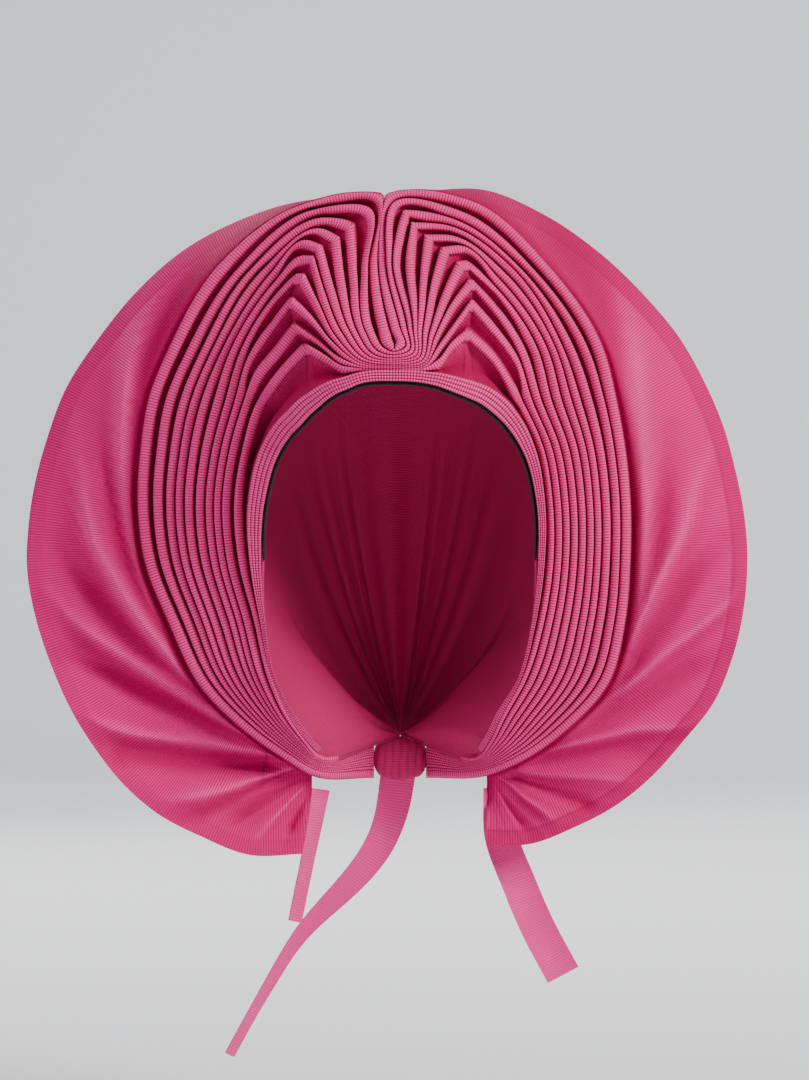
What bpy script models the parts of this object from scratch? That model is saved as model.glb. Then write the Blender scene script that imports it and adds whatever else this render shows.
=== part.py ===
"""Tied gele head tie: ten pleats that fan up over the forehead, a smooth flared wing
outside them, a folded forehead band with its dark lining, a plain cap over the back
of the head, a knot at the nape and three flat ties.

The frame: metres, +Z up, the front faces -Y. The origin is the inside of the cap's
crown, where the head tie sits on a head. The tables give the front view as shares of
SIDE (across) and RISE (up from the gathers), as an eye at VIEW_DISTANCE sees it, and
depths as shares of HEAD_HALF. seen() moves such a point to its real place.
"""

from collections import namedtuple

import bmesh
import bpy
import numpy as np

# Driving sizes
SIDE = 0.1175  # reach of the pleats to each side at eye level
RISE = 0.235  # height of the fan's shoulders over the gathers
GATHER_DROP = 0.220  # the gathers below the crown
HEAD_HALF = 0.100  # half of the head's length, front to back
HEAD_BREADTH = 0.146  # inside the cap
HEAD_DROP = 0.092  # the head's widest level below the crown
NAPE_DROP = 0.2075  # the cap's gathered end below the crown
NAPE_BACK = 0.068  # the cap's gathered end behind the head's middle
CLOTH = 0.0012  # one wall of cloth
GAP = 0.0003  # between pieces that touch
FOLD_WALL = 0.0035  # the pleated cloth, front to back, where its sides are steep
BAND_WIDTH = 0.0085  # widest stretch of the forehead band
BAND_THICK = 0.0026  # two folded layers
LINING_WIDTH = 0.010
LINING_LIP = 0.002  # what shows of the lining inside the band
PLEAT_DEPTH = 0.007  # deepest crevice between two pleats
PLEAT_STEEP = 0.9  # crevice depth over the pitch of the pleats
FOLD_CORNER = 0.0014  # from a ridge's middle to its corner
EDGE_REACH = 0.0028  # from the last ridge to the edge of the pleated cloth
KNOT = (0.024, 0.014, 0.022)  # across, front to back, up
TIE_WIDTH = 0.0165
TIE_WALL = 0.0012

# The eye of the front view
VIEW_DISTANCE = 2.0
VIEW_PLANE = -0.020  # depth at which seen sizes are real sizes
EYE_ACROSS = 0.0021
EYE_UP = -0.1128

Side = namedtuple("Side", "inner outer rim band")
Pleat = namedtuple("Pleat", "spread bend arc peak corner leg low turn foot")
Depth = namedtuple("Depth", "rim inner outer")
Ray = namedtuple("Ray", "start hem depth")
Fold = namedtuple("Fold", "lift width near middle far")
Strap = namedtuple("Strap", "edge depth turn")

# Side arcs from the nape up to the temples: where the inner and the outer ridge and
# the band's inner edge lie, and the band's width as a share of BAND_WIDTH.
LEFT_SIDE = (
    Side((0.104, 0.046), (0.104, -0.008), (0.104, 0.068), 0.17),
    Side((0.332, 0.022), (0.348, -0.004), (0.320, 0.036), 0.17),
    Side((0.376, 0.048), (0.440, 0.024), (0.360, 0.056), 0.17),
    Side((0.456, 0.104), (0.600, 0.080), (0.436, 0.108), 0.17),
    Side((0.518, 0.178), (0.784, 0.172), (0.500, 0.180), 0.17),
    Side((0.572, 0.296), (0.904, 0.294), (0.540, 0.296), 0.22),
    Side((0.632, 0.416), (1.000, 0.416), (0.556, 0.416), 0.68),
    Side((0.648, 0.536), (1.028, 0.536), (0.540, 0.536), 0.95),
    Side((0.616, 0.636), (1.016, 0.636), (0.476, 0.636), 1.10),
    Side((0.552, 0.736), (0.984, 0.736), (0.428, 0.670), 1.12),
)
RIGHT_SIDE = (
    Side((0.104, 0.046), (0.104, -0.008), (0.104, 0.068), 0.17),
    Side((0.328, 0.022), (0.344, -0.004), (0.316, 0.036), 0.17),
    Side((0.362, 0.048), (0.480, 0.024), (0.344, 0.056), 0.17),
    Side((0.416, 0.104), (0.660, 0.088), (0.396, 0.108), 0.17),
    Side((0.496, 0.178), (0.816, 0.176), (0.472, 0.180), 0.17),
    Side((0.568, 0.296), (0.880, 0.296), (0.528, 0.296), 0.22),
    Side((0.604, 0.416), (0.900, 0.416), (0.552, 0.416), 0.40),
    Side((0.600, 0.536), (0.900, 0.536), (0.544, 0.536), 0.45),
    Side((0.566, 0.636), (0.880, 0.636), (0.492, 0.632), 0.70),
    Side((0.476, 0.736), (0.844, 0.736), (0.412, 0.691), 1.00),
)

# The band's inner edge over the forehead, from the bend of the pleats to the middle
LEFT_BROW = (
    Side(None, None, (0.400, 0.684), 1.12),
    Side(None, None, (0.360, 0.706), 1.10),
    Side(None, None, (0.324, 0.722), 1.02),
    Side(None, None, (0.292, 0.736), 0.92),
    Side(None, None, (0.256, 0.748), 0.82),
    Side(None, None, (0.212, 0.7575), 0.72),
    Side(None, None, (0.160, 0.7685), 0.64),
    Side(None, None, (0.024, 0.774), 0.58),
)
RIGHT_BROW = (
    Side(None, None, (0.364, 0.713), 1.08),
    Side(None, None, (0.316, 0.730), 1.05),
    Side(None, None, (0.272, 0.740), 1.00),
    Side(None, None, (0.232, 0.748), 0.94),
    Side(None, None, (0.192, 0.756), 0.86),
    Side(None, None, (0.148, 0.764), 0.76),
    Side(None, None, (0.104, 0.769), 0.67),
    Side(None, None, (-0.024, 0.774), 0.58),
)

# Each ridge from the inner one out. spread is its share of the way from the inner to
# the outer ridge on the side arc; the rest is its path over the top and down its leg.
LEFT_PLEATS = (
    Pleat(0.000, (0.512, 0.764), (0.440, 0.808), (0.388, 0.838), (0.348, 0.838),
          (0.288, 0.818), (0.232, 0.8015), (0.168, 0.8000), 0.7992),
    Pleat(0.140, (0.580, 0.776), (0.492, 0.832), (0.432, 0.876), (0.400, 0.878),
          (0.328, 0.850), (0.248, 0.818), (0.168, 0.8040), 0.8014),
    Pleat(0.225, (0.604, 0.814), (0.512, 0.884), (0.456, 0.928), (0.428, 0.930),
          (0.364, 0.898), (0.264, 0.844), (0.160, 0.8085), 0.8038),
    Pleat(0.310, (0.624, 0.836), (0.496, 0.940), (0.432, 0.978), (0.384, 0.978),
          (0.336, 0.928), (0.272, 0.866), (0.156, 0.813), 0.8065),
    Pleat(0.410, (0.668, 0.836), (0.492, 0.970), (0.400, 1.014), (0.348, 1.018),
          (0.308, 0.944), (0.248, 0.874), (0.148, 0.818), 0.810),
    Pleat(0.530, (0.700, 0.836), (0.512, 0.986), (0.396, 1.050), (0.332, 1.042),
          (0.272, 0.952), (0.212, 0.874), (0.132, 0.822), 0.814),
    Pleat(0.630, (0.740, 0.836), (0.528, 1.000), (0.320, 1.072), (0.256, 1.054),
          (0.232, 0.964), (0.184, 0.874), (0.116, 0.827), 0.818),
    Pleat(0.720, (0.780, 0.836), (0.584, 0.998), (0.280, 1.094), (0.204, 1.082),
          (0.184, 0.980), (0.148, 0.872), (0.096, 0.832), 0.824),
    Pleat(0.850, (0.832, 0.836), (0.640, 0.992), (0.312, 1.118), (0.124, 1.108),
          (0.138, 1.000), (0.120, 0.872), (0.076, 0.838), 0.830),
    Pleat(1.000, (0.904, 0.836), (0.712, 0.996), (0.400, 1.118), (0.084, 1.138),
          (0.104, 1.012), (0.064, 0.878), (0.048, 0.850), 0.838),
)
RIGHT_PLEATS = (
    Pleat(0.000, (0.448, 0.760), (0.372, 0.820), (0.288, 0.864), (0.244, 0.866),
          (0.200, 0.842), (0.152, 0.8105), (0.104, 0.8005), 0.7992),
    Pleat(0.110, (0.464, 0.816), (0.376, 0.876), (0.304, 0.922), (0.272, 0.926),
          (0.224, 0.882), (0.152, 0.836), (0.104, 0.8050), 0.8014),
    Pleat(0.210, (0.488, 0.836), (0.396, 0.910), (0.312, 0.964), (0.272, 0.968),
          (0.208, 0.920), (0.144, 0.860), (0.100, 0.8095), 0.8038),
    Pleat(0.320, (0.540, 0.836), (0.372, 0.960), (0.280, 1.006), (0.236, 1.004),
          (0.184, 0.944), (0.128, 0.872), (0.092, 0.8140), 0.8065),
    Pleat(0.430, (0.580, 0.836), (0.388, 0.976), (0.256, 1.040), (0.176, 1.034),
          (0.136, 0.966), (0.100, 0.876), (0.080, 0.8190), 0.810),
    Pleat(0.540, (0.616, 0.836), (0.412, 0.986), (0.220, 1.058), (0.116, 1.060),
          (0.100, 0.996), (0.076, 0.876), (0.070, 0.8240), 0.814),
    Pleat(0.635, (0.644, 0.836), (0.432, 1.004), (0.184, 1.082), (0.052, 1.084),
          (0.040, 1.012), (0.060, 0.876), (0.058, 0.8290), 0.818),
    Pleat(0.755, (0.684, 0.836), (0.468, 1.000), (0.220, 1.092), (0.028, 1.112),
          (-0.020, 1.020), (0.040, 0.880), (0.044, 0.8340), 0.824),
    Pleat(0.895, (0.740, 0.836), (0.520, 0.996), (0.248, 1.104), (-0.024, 1.126),
          (-0.048, 1.020), (0.012, 0.880), (0.028, 0.8400), 0.830),
    Pleat(1.000, (0.792, 0.836), (0.580, 0.996), (0.280, 1.128), (-0.044, 1.140),
          (-0.072, 1.012), (-0.016, 0.880), (0.006, 0.8480), 0.838),
)

# Depth at each station of a ridge, from the nape to the middle of the forehead
DEPTHS = (
    Depth(0.66, 0.64, 0.68),
    Depth(0.33, 0.31, 0.36),
    Depth(0.25, 0.23, 0.30),
    Depth(0.15, 0.12, 0.22),
    Depth(0.05, 0.02, 0.14),
    Depth(-0.09, -0.09, 0.06),
    Depth(-0.20, -0.16, 0.01),
    Depth(-0.36, -0.26, -0.04),
    Depth(-0.52, -0.38, -0.10),
    Depth(-0.60, -0.50, -0.17),
    Depth(-0.65, -0.58, -0.24),
    Depth(-0.70, -0.67, -0.35),
    Depth(-0.74, -0.74, -0.42),
    Depth(-0.77, -0.77, -0.45),
    Depth(-0.80, -0.80, -0.62),
    Depth(-0.82, -0.83, -0.80),
    Depth(-0.83, -0.85, -0.84),
    Depth(-0.84, -0.86, -0.85),
)
GATHER, CORNER = 1, 13  # stations of the gathers and of the last ridge's top corner

# The wing: where each line across it starts on the last ridge, as a station, and
# where it meets the hem. A start under GATHER is a share of the way down the gathers.
LEFT_WING = (
    Ray(12.8, (0.066, 1.144), 0.25), Ray(12.5, (0.240, 1.142), 0.25),
    Ray(12.0, (0.436, 1.130), 0.26), Ray(11.5, (0.652, 1.094), 0.27),
    Ray(11.0, (0.860, 1.038), 0.27), Ray(10.5, (1.060, 0.950), 0.26),
    Ray(10.0, (1.200, 0.864), 0.25), Ray(9.0, (1.340, 0.756), 0.24),
    Ray(8.0, (1.412, 0.660), 0.23), Ray(7.0, (1.464, 0.562), 0.22),
    Ray(6.0, (1.488, 0.476), 0.22), Ray(5.0, (1.492, 0.396), 0.22),
    Ray(4.0, (1.470, 0.326), 0.23), Ray(3.0, (1.436, 0.262), 0.24),
    Ray(2.0, (1.388, 0.196), 0.25), Ray(1.0, (1.316, 0.116), 0.26),
    Ray(0.8, (1.216, 0.036), 0.27), Ray(0.6, (1.100, -0.036), 0.28),
    Ray(0.45, (0.968, -0.092), 0.30), Ray(0.3, (0.800, -0.136), 0.32),
    Ray(0.15, (0.600, -0.174), 0.35), Ray(0.0, (0.392, -0.172), 0.38),
)
RIGHT_WING = (
    Ray(12.7, (-0.052, 1.146), 0.25), Ray(12.5, (0.140, 1.156), 0.25),
    Ray(12.0, (0.320, 1.158), 0.26), Ray(11.5, (0.580, 1.106), 0.27),
    Ray(11.0, (0.800, 1.030), 0.27), Ray(10.5, (0.980, 0.944), 0.26),
    Ray(10.0, (1.116, 0.862), 0.25), Ray(9.0, (1.224, 0.766), 0.24),
    Ray(8.0, (1.292, 0.686), 0.23), Ray(7.0, (1.340, 0.600), 0.22),
    Ray(6.0, (1.376, 0.510), 0.22), Ray(5.5, (1.390, 0.430), 0.22),
    Ray(5.0, (1.384, 0.356), 0.23), Ray(4.5, (1.364, 0.286), 0.24),
    Ray(4.0, (1.324, 0.212), 0.25), Ray(3.0, (1.256, 0.132), 0.26),
    Ray(2.0, (1.140, 0.058), 0.27), Ray(1.0, (1.000, -0.020), 0.28),
    Ray(0.7, (0.860, -0.076), 0.30), Ray(0.45, (0.700, -0.118), 0.32),
    Ray(0.2, (0.520, -0.152), 0.35), Ray(0.0, (0.344, -0.154), 0.38),
)
WING_SHARES = (0.0, 0.03, 0.07, 0.14, 0.23, 0.33, 0.44, 0.55, 0.67, 0.79, 0.90, 1.0)
WING_FINE = 8  # the ray from which the wing has a line between each two rays
WING_ROLL = 0.0035  # how soon the wing rolls out of the last crevice
WING_ROLL_LIFT = 0.0050
WING_TUCK = 0.5  # how far it starts behind the last pleat, a share of that half pleat
WING_THIN = 0.5  # share of CLOTH along that start, where the cloth bends sharply
WING_CLEAR = 0.3  # how far outside the pleat its roll begins, the same share

# Soft folds of the wing, each running from the gathers through three places. lift is
# a share of WING_FOLD, and negative for a valley; width is a share of WING_FOLD_WIDTH.
WING_FOLD = 0.005
WING_FOLD_WIDTH = 0.0105
LEFT_FOLDS = (
    Fold(-0.7, 0.9, (0.880, 0.226), (1.088, 0.416), (1.156, 0.640)),
    Fold(1.0, 1.2, (0.950, 0.232), (1.200, 0.420), (1.290, 0.640)),
    Fold(-1.0, 1.1, (0.900, 0.190), (1.176, 0.324), (1.380, 0.446)),
    Fold(0.8, 1.0, (0.800, 0.122), (1.176, 0.244), (1.400, 0.340)),
    Fold(-0.7, 1.0, (0.816, 0.104), (1.032, 0.158), (1.340, 0.216)),
    Fold(0.7, 1.0, (0.732, 0.044), (0.980, 0.064), (1.280, 0.110)),
    Fold(-0.7, 1.0, (0.700, 0.010), (0.900, 0.010), (1.180, 0.016)),
    Fold(0.8, 1.0, (0.584, -0.024), (0.760, -0.052), (0.960, -0.070)),
    Fold(-0.7, 1.0, (0.440, -0.034), (0.560, -0.084), (0.700, -0.136)),
)
RIGHT_FOLDS = (
    Fold(1.0, 1.1, (0.840, 0.186), (0.956, 0.416), (1.004, 0.700)),
    Fold(-1.0, 1.0, (0.900, 0.246), (1.020, 0.456), (1.080, 0.660)),
    Fold(1.0, 1.1, (0.848, 0.192), (1.072, 0.416), (1.240, 0.640)),
    Fold(-0.8, 1.0, (0.800, 0.146), (1.060, 0.306), (1.260, 0.440)),
    Fold(0.8, 0.9, (0.800, 0.132), (1.072, 0.234), (1.340, 0.360)),
    Fold(-0.7, 1.0, (0.760, 0.086), (0.980, 0.136), (1.280, 0.226)),
    Fold(0.7, 0.9, (0.600, 0.036), (0.916, 0.064), (1.180, 0.090)),
    Fold(-0.7, 1.0, (0.540, -0.004), (0.740, -0.008), (0.980, -0.020)),
    Fold(0.7, 0.9, (0.440, -0.034), (0.560, -0.070), (0.720, -0.100)),
)
BUNDLE_DROP = 0.044  # the wing's gathers below the pleats', a share of RISE
BUNDLE_BACK = 0.04  # and behind them, a share of HEAD_HALF

# Ties, from the gathers down: the left edge in the front view, its depth, and how far
# the strap is turned edge-on, in degrees
RIGHT_TIE = (
    Strap((0.335, -0.040), 0.485, 25), Strap((0.340, -0.140), 0.52, 20),
    Strap((0.412, -0.242), 0.55, 15), Strap((0.484, -0.328), 0.56, 10),
    Strap((0.592, -0.430), 0.56, 10),
)
SHORT_TIE = (
    Strap((-0.350, -0.040), 0.488, 60), Strap((-0.372, -0.120), 0.55, 66),
    Strap((-0.396, -0.186), 0.55, 68), Strap((-0.424, -0.254), 0.55, 68),
    Strap((-0.444, -0.304), 0.55, 68),
)
LONG_TIE = (
    Strap((-0.070, 0.020), 0.770, 0), Strap((-0.110, -0.110), 0.766, 30),
    Strap((-0.440, -0.340), 0.72, 68), Strap((-0.604, -0.484), 0.68, 74),
    Strap((-0.696, -0.568), 0.66, 74),
)

# Colours of the cloth and the lining
PINK = (0.60, 0.065, 0.19, 1.0)
DEEP_PINK = (0.42, 0.030, 0.10, 1.0)
BLACK = (0.010, 0.008, 0.010, 1.0)


def clear_scene():
    """Removes what the file starts with."""
    for thing in list(bpy.data.objects):
        bpy.data.objects.remove(thing, do_unlink=True)


def cloth_material(name, colour, roughness=0.62):
    """A plain cloth finish for one piece."""
    material = bpy.data.materials.new(name)
    material.use_nodes = True
    shader = material.node_tree.nodes["Principled BSDF"]
    shader.inputs["Base Color"].default_value = colour
    shader.inputs["Roughness"].default_value = roughness
    shader.inputs["Metallic"].default_value = 0.0
    return material


def seen(across, up, depth):
    """The real place of a point seen from the front: across and up are metres in the
    view, up from the crown, and depth is its Y."""
    grow = (VIEW_DISTANCE + depth) / (VIEW_DISTANCE + VIEW_PLANE)
    x = EYE_ACROSS + (across - EYE_ACROSS) * grow
    z = EYE_UP + (up - EYE_UP) * grow
    return np.stack([x, np.broadcast_to(depth, x.shape), z], axis=-1)


def view_point(share, hand=1.0):
    """A table's share of SIDE and RISE as metres in the front view."""
    return np.array([hand * share[0] * SIDE, share[1] * RISE - GATHER_DROP])


def smooth(points, places):
    """A curve through the points along axis 0, read at places such as 2.5, with
    tangents weighted by how near each neighbour is."""
    points = np.asarray(points, float)
    step = np.diff(points, axis=0)
    long = np.maximum(np.linalg.norm(step, axis=-1, keepdims=True), 1e-9)
    unit = step / long
    slope = np.empty_like(points)
    slope[0], slope[-1] = unit[0], unit[-1]
    before, after = long[:-1], long[1:]
    slope[1:-1] = (after * unit[:-1] + before * unit[1:]) / (before + after)
    places = np.asarray(places, float)
    first = np.clip(places.astype(int), 0, len(points) - 2)
    t = (places - first).reshape((-1,) + (1,) * (points.ndim - 1))
    a, b, size = points[first], points[first + 1], long[first]
    return (
        (2 * t**3 - 3 * t**2 + 1) * a
        + (t**3 - 2 * t**2 + t) * size * slope[first]
        + (3 * t**2 - 2 * t**3) * b
        + (t**3 - t**2) * size * slope[first + 1]
    )


def half_ridges(sides, pleats, hand):
    """Front-view points of every ridge from the nape to the foot: one row per
    station, one column per ridge."""
    rows = []
    for side in sides:
        inner, outer = view_point(side.inner, hand), view_point(side.outer, hand)
        rows.append([inner + (outer - inner) * p.spread for p in pleats])
    for column in ("bend", "arc", "peak", "corner", "leg", "low", "turn"):
        rows.append([view_point(getattr(p, column), hand) for p in pleats])
    middle = LEFT_BROW[-1].rim[0]
    rows.append([view_point((-middle, p.foot)) for p in pleats])
    return np.array(rows)


def both_halves(left, right):
    """The left half from nape to middle, then the right half back to the nape."""
    return np.concatenate([left, right[-2::-1]])


def rim_line():
    """Front-view points of the band's inner edge, and the band's widths."""
    halves = []
    for rows, hand in ((LEFT_SIDE + LEFT_BROW, -1.0), (RIGHT_SIDE + RIGHT_BROW, 1.0)):
        points = np.array([view_point(row.rim, hand) for row in rows])
        widths = np.array([[row.band * BAND_WIDTH] for row in rows])
        halves.append(np.concatenate([points, widths], axis=1))
    both = both_halves(*halves)
    return both[:, :2], both[:, 2:]


def station_depths():
    """Depths of rim, inner ridge and outer ridge at every station of both halves."""
    half = np.array(DEPTHS) * HEAD_HALF
    return both_halves(half, half)


def outward(line):
    """Unit normals of a front-view line that runs from the left nape over the top."""
    along = np.gradient(line, axis=0)
    along /= np.maximum(np.linalg.norm(along, axis=-1, keepdims=True), 1e-9)
    return np.stack([-along[..., 1], along[..., 0]], axis=-1)


CAP_SHARES = (0, 0.1, 0.2, 0.32, 0.44, 0.56, 0.68, 0.8, 0.9, 0.993)
LINING_END = 6  # the station where the lining ends, at ear level
LAST = 2 * (len(LEFT_SIDE) + len(LEFT_BROW) - 1)  # the right nape's station


def fan_stations():
    """Stations of the pleated sheet: finer where the ridges curve."""
    half = [0, 1, 2, 3, 4, 5, 6, 7, 8, 9, 10, 10.5, 11, 11.5,
            12, 12.5, 13, 13.4, 14, 15, 15.5, 16, 16.5, 17]
    return np.array(half + [LAST - t for t in half[-2::-1]])


def ridge_lines(stations):
    """Front-view points and depths of the ridges at the stations, and of the pleated
    sheet's inner edge, which runs along the band."""
    ridges = both_halves(
        half_ridges(LEFT_SIDE, LEFT_PLEATS, -1.0),
        half_ridges(RIGHT_SIDE, RIGHT_PLEATS, 1.0),
    )
    columns = [smooth(ridges[:, k], stations) for k in range(ridges.shape[1])]
    ridges = np.stack(columns, axis=1)
    rim, widths = rim_line()
    rim = smooth(rim, stations)
    widths = np.interp(stations, np.arange(LAST + 1), widths[:, 0])[:, None]
    inner_edge = rim + outward(rim) * (widths + GAP)
    table = station_depths()
    depths = [np.interp(stations, np.arange(LAST + 1), table[:, i]) for i in range(3)]
    return ridges, inner_edge, depths


def outer_edge(ridges, stations):
    """Front-view line of the pleated sheet's outer edge: outside the last ridge, or
    in the middle slit between its two legs."""
    last = ridges[:, -1]
    edge = last + outward(last) * EDGE_REACH
    middle = LAST / 2
    top = np.interp(np.abs(stations - middle), [2.5, 3.2, 4.2, 6.0], [0, 0, 0.35, 1])
    edge = last + (edge - last) * np.maximum(top, 0.25)[:, None]
    for i, station in enumerate(stations):
        away = abs(station - middle)
        if away < LAST / 2 - CORNER + 0.2:
            other = smooth(ridges[:, -1], [len(stations) - 1 - i])[0]
            edge[i] = last[i] + (other - last[i]) * 0.40
    foot = len(stations) // 2
    edge[foot] = last[foot] + (edge[foot - 1] + edge[foot + 1] - 2 * last[foot]) * 0.12
    return edge


def fan_section():
    """The pleated sheet by station: front-view places and depths of its inner edge,
    then of each crevice and ridge in turn, the last being its outer edge."""
    stations = fan_stations()
    ridges, inner_edge, (rim_depth, inner_depth, outer_depth) = ridge_lines(stations)
    count = ridges.shape[1]
    share = np.linspace(0, 1, count)
    depth = inner_depth[:, None] * (1 - share) + outer_depth[:, None] * share
    lines = np.concatenate([inner_edge[:, None], ridges], axis=1)
    levels = np.concatenate([rim_depth[:, None], depth], axis=1)
    edge = outer_edge(ridges, stations)
    places, depths = [inner_edge], [rim_depth]
    for k in range(count):
        pitch = np.linalg.norm(lines[:, k + 1] - lines[:, k], axis=1)
        level = (levels[:, k] + levels[:, k + 1]) / 2
        places += [(lines[:, k] + lines[:, k + 1]) / 2, ridges[:, k]]
        depths += [level + np.minimum(PLEAT_DEPTH, PLEAT_STEEP * pitch), depth[:, k]]
    pitch = 2 * np.linalg.norm(edge - ridges[:, -1], axis=1)
    places.append(edge)
    depths.append(depth[:, -1] + np.minimum(PLEAT_DEPTH, PLEAT_STEEP * pitch))
    return np.stack(places, axis=1), np.stack(depths, axis=1)


def ridge_corners(places, depths):
    """The section with two corners for each ridge, so that the folds are blunt."""
    wide, deep = [], []
    for j in range(places.shape[1]):
        if j < 2 or j % 2:
            wide.append(places[:, j])
            deep.append(depths[:, j])
            continue
        for towards in (places[:, j - 1], places[:, j + 1]):
            way = towards - places[:, j]
            size = np.linalg.norm(way, axis=1, keepdims=True)
            wide.append(places[:, j] + way * np.minimum(0.36, FOLD_CORNER / size))
            deep.append(depths[:, j])
    return np.stack(wide, axis=1), np.stack(deep, axis=1)


def closed_sheet(name, front, back, material):
    """One closed solid between two grids. They have the same rows, and their first
    and last columns lie over each other."""
    rows, wide = front.shape[:2]
    narrow = back.shape[1]
    points = np.concatenate([front.reshape(-1, 3), back.reshape(-1, 3)])
    shift = rows * wide
    faces = []
    for i in range(rows - 1):
        for j in range(wide - 1):
            a = i * wide + j
            faces.append((a, a + 1, a + 1 + wide, a + wide))
        for j in range(narrow - 1):
            a = shift + i * narrow + j
            faces.append((a, a + narrow, a + 1 + narrow, a + 1))
        for j, k in ((0, 0), (wide - 1, narrow - 1)):
            a, b = i * wide + j, shift + i * narrow + k
            faces.append((a, a + wide, b + narrow, b))
    for i in (0, rows - 1):
        over = [i * wide + j for j in range(wide)]
        under = [shift + i * narrow + j for j in range(narrow)]
        if wide == narrow:
            for j in range(wide - 1):
                faces.append((over[j], over[j + 1], under[j + 1], under[j]))
        else:
            faces.append(tuple(over + under[::-1]))
    return solid(name, points, faces, material)


def solid(name, points, faces, material):
    """A mesh object from points and faces, with its faces turned outward."""
    mesh = bpy.data.meshes.new(name)
    mesh.from_pydata([tuple(p) for p in points], [], [tuple(f) for f in faces])
    work = bmesh.new()
    work.from_mesh(mesh)
    bmesh.ops.triangulate(work, faces=work.faces[:])
    bmesh.ops.recalc_face_normals(work, faces=work.faces[:])
    work.to_mesh(mesh)
    work.free()
    mesh.materials.append(material)
    thing = bpy.data.objects.new(name, mesh)
    bpy.context.scene.collection.objects.link(thing)
    return thing


def build_fan():
    """The pleated fan: one cloth, folded ten times, closed by its own thickness."""
    places, depths = fan_section()
    blunt, blunt_depths = ridge_corners(places, depths)
    front = seen(blunt[..., 0], blunt[..., 1], blunt_depths)
    back = seen(places[..., 0], places[..., 1], depths) + np.array([0.0, FOLD_WALL, 0.0])
    return closed_sheet("pleated_fan", front, back, cloth_material("fan_cloth", PINK))


def fold_lift(places, folds, gather, hand):
    """How far the wing's folds bring it forward at front-view places."""
    lift = np.zeros(places.shape[:-1])
    reach = np.linalg.norm(places - gather, axis=-1)
    for fold in folds:
        path = [gather] + [view_point(p, hand) for p in (fold.near, fold.middle, fold.far)]
        path = smooth(path, np.linspace(0, 3, 25))
        away = np.linalg.norm(places[..., None, :] - path, axis=-1).min(axis=-1)
        width = WING_FOLD_WIDTH * fold.width * np.clip(reach / (0.4 * SIDE), 0.15, 1.0)
        lift += fold.lift * WING_FOLD * np.exp(-((away / width) ** 2))
    return lift * np.clip(reach / (0.5 * SIDE), 0.05, 1.0)


def wing_start(stations, below):
    """Where a wing leaves the pleated sheet: just behind its outer edge."""
    grid = fan_stations()
    places, depths = fan_section()
    rows = np.interp(stations, grid, np.arange(len(grid)))
    edge, depth = smooth(places[:, -1], rows), np.interp(stations, grid, depths[:, -1])
    ridge = smooth(places[:, -2], rows)
    drop = below[:, None] * np.array([0.0, -BUNDLE_DROP * RISE])
    inner = edge + (ridge - edge) * WING_TUCK + drop
    away = np.abs(stations - LAST / 2)
    outside_edge = WING_CLEAR * np.interp(away, [4.2, 4.5], [0.5, 1.0])
    clear = edge + (edge - ridge) * outside_edge[:, None] + drop
    return inner, clear, depth + FOLD_WALL + GAP + below * BUNDLE_BACK * HEAD_HALF


def build_wing(name, hand):
    """One wing: a row for each line from the last ridge to the hem."""
    rays = LEFT_WING if hand < 0 else RIGHT_WING
    folds = LEFT_FOLDS if hand < 0 else RIGHT_FOLDS
    fine = np.arange(WING_FINE, len(rays) - 0.9, 0.5)
    places = np.concatenate([np.arange(WING_FINE), fine])
    starts = np.interp(places, np.arange(len(rays)), [r.start for r in rays])
    stations = np.maximum(starts, GATHER)
    below = np.clip(GATHER - starts, 0, 1)
    inner, clear, start_depth = wing_start(LAST - stations if hand > 0 else stations, below)
    hem = smooth([view_point(r.hem, hand) for r in rays], places)
    hem_depth = np.interp(places, np.arange(len(rays)), [r.depth for r in rays]) * HEAD_HALF
    span = np.linalg.norm(hem - clear, axis=1)[:, None]
    share = np.broadcast_to(np.array((0.0,) + WING_SHARES), (len(places), len(WING_SHARES) + 1))
    spots = clear[:, None] + (hem - clear)[:, None] * share[..., None]
    spots[:, 0] = inner
    depth = start_depth[:, None] * (1 - share) + hem_depth[:, None] * share
    gather = clear[np.argmin(np.abs(starts - GATHER))]
    out = share * span
    roll = (1 - np.exp(-out / WING_ROLL)) * (1 - share)
    lift = (WING_ROLL_LIFT + FOLD_WALL) * roll * np.clip(span / (0.25 * SIDE), 0, 1)
    lift = lift * np.clip((stations - GATHER) / 5, 0.1, 1)[:, None]
    calm = np.clip(out / (0.08 * SIDE), 0, 1)
    lift = lift + fold_lift(spots, folds, gather, hand) * calm
    front = seen(spots[..., 0], spots[..., 1], depth - lift)
    normal = np.cross(np.gradient(front, axis=1), np.gradient(front, axis=0))
    normal /= np.linalg.norm(normal, axis=-1, keepdims=True)
    if normal[:, -1, 1].mean() < 0:
        normal = -normal
    wall = CLOTH * np.interp(np.arange(len(WING_SHARES) + 1), [0, 2, 4], [WING_THIN, WING_THIN, 1])
    back = front + normal * wall[:, None]
    return closed_sheet(name, front, back, cloth_material(name + "_cloth", PINK))


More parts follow.
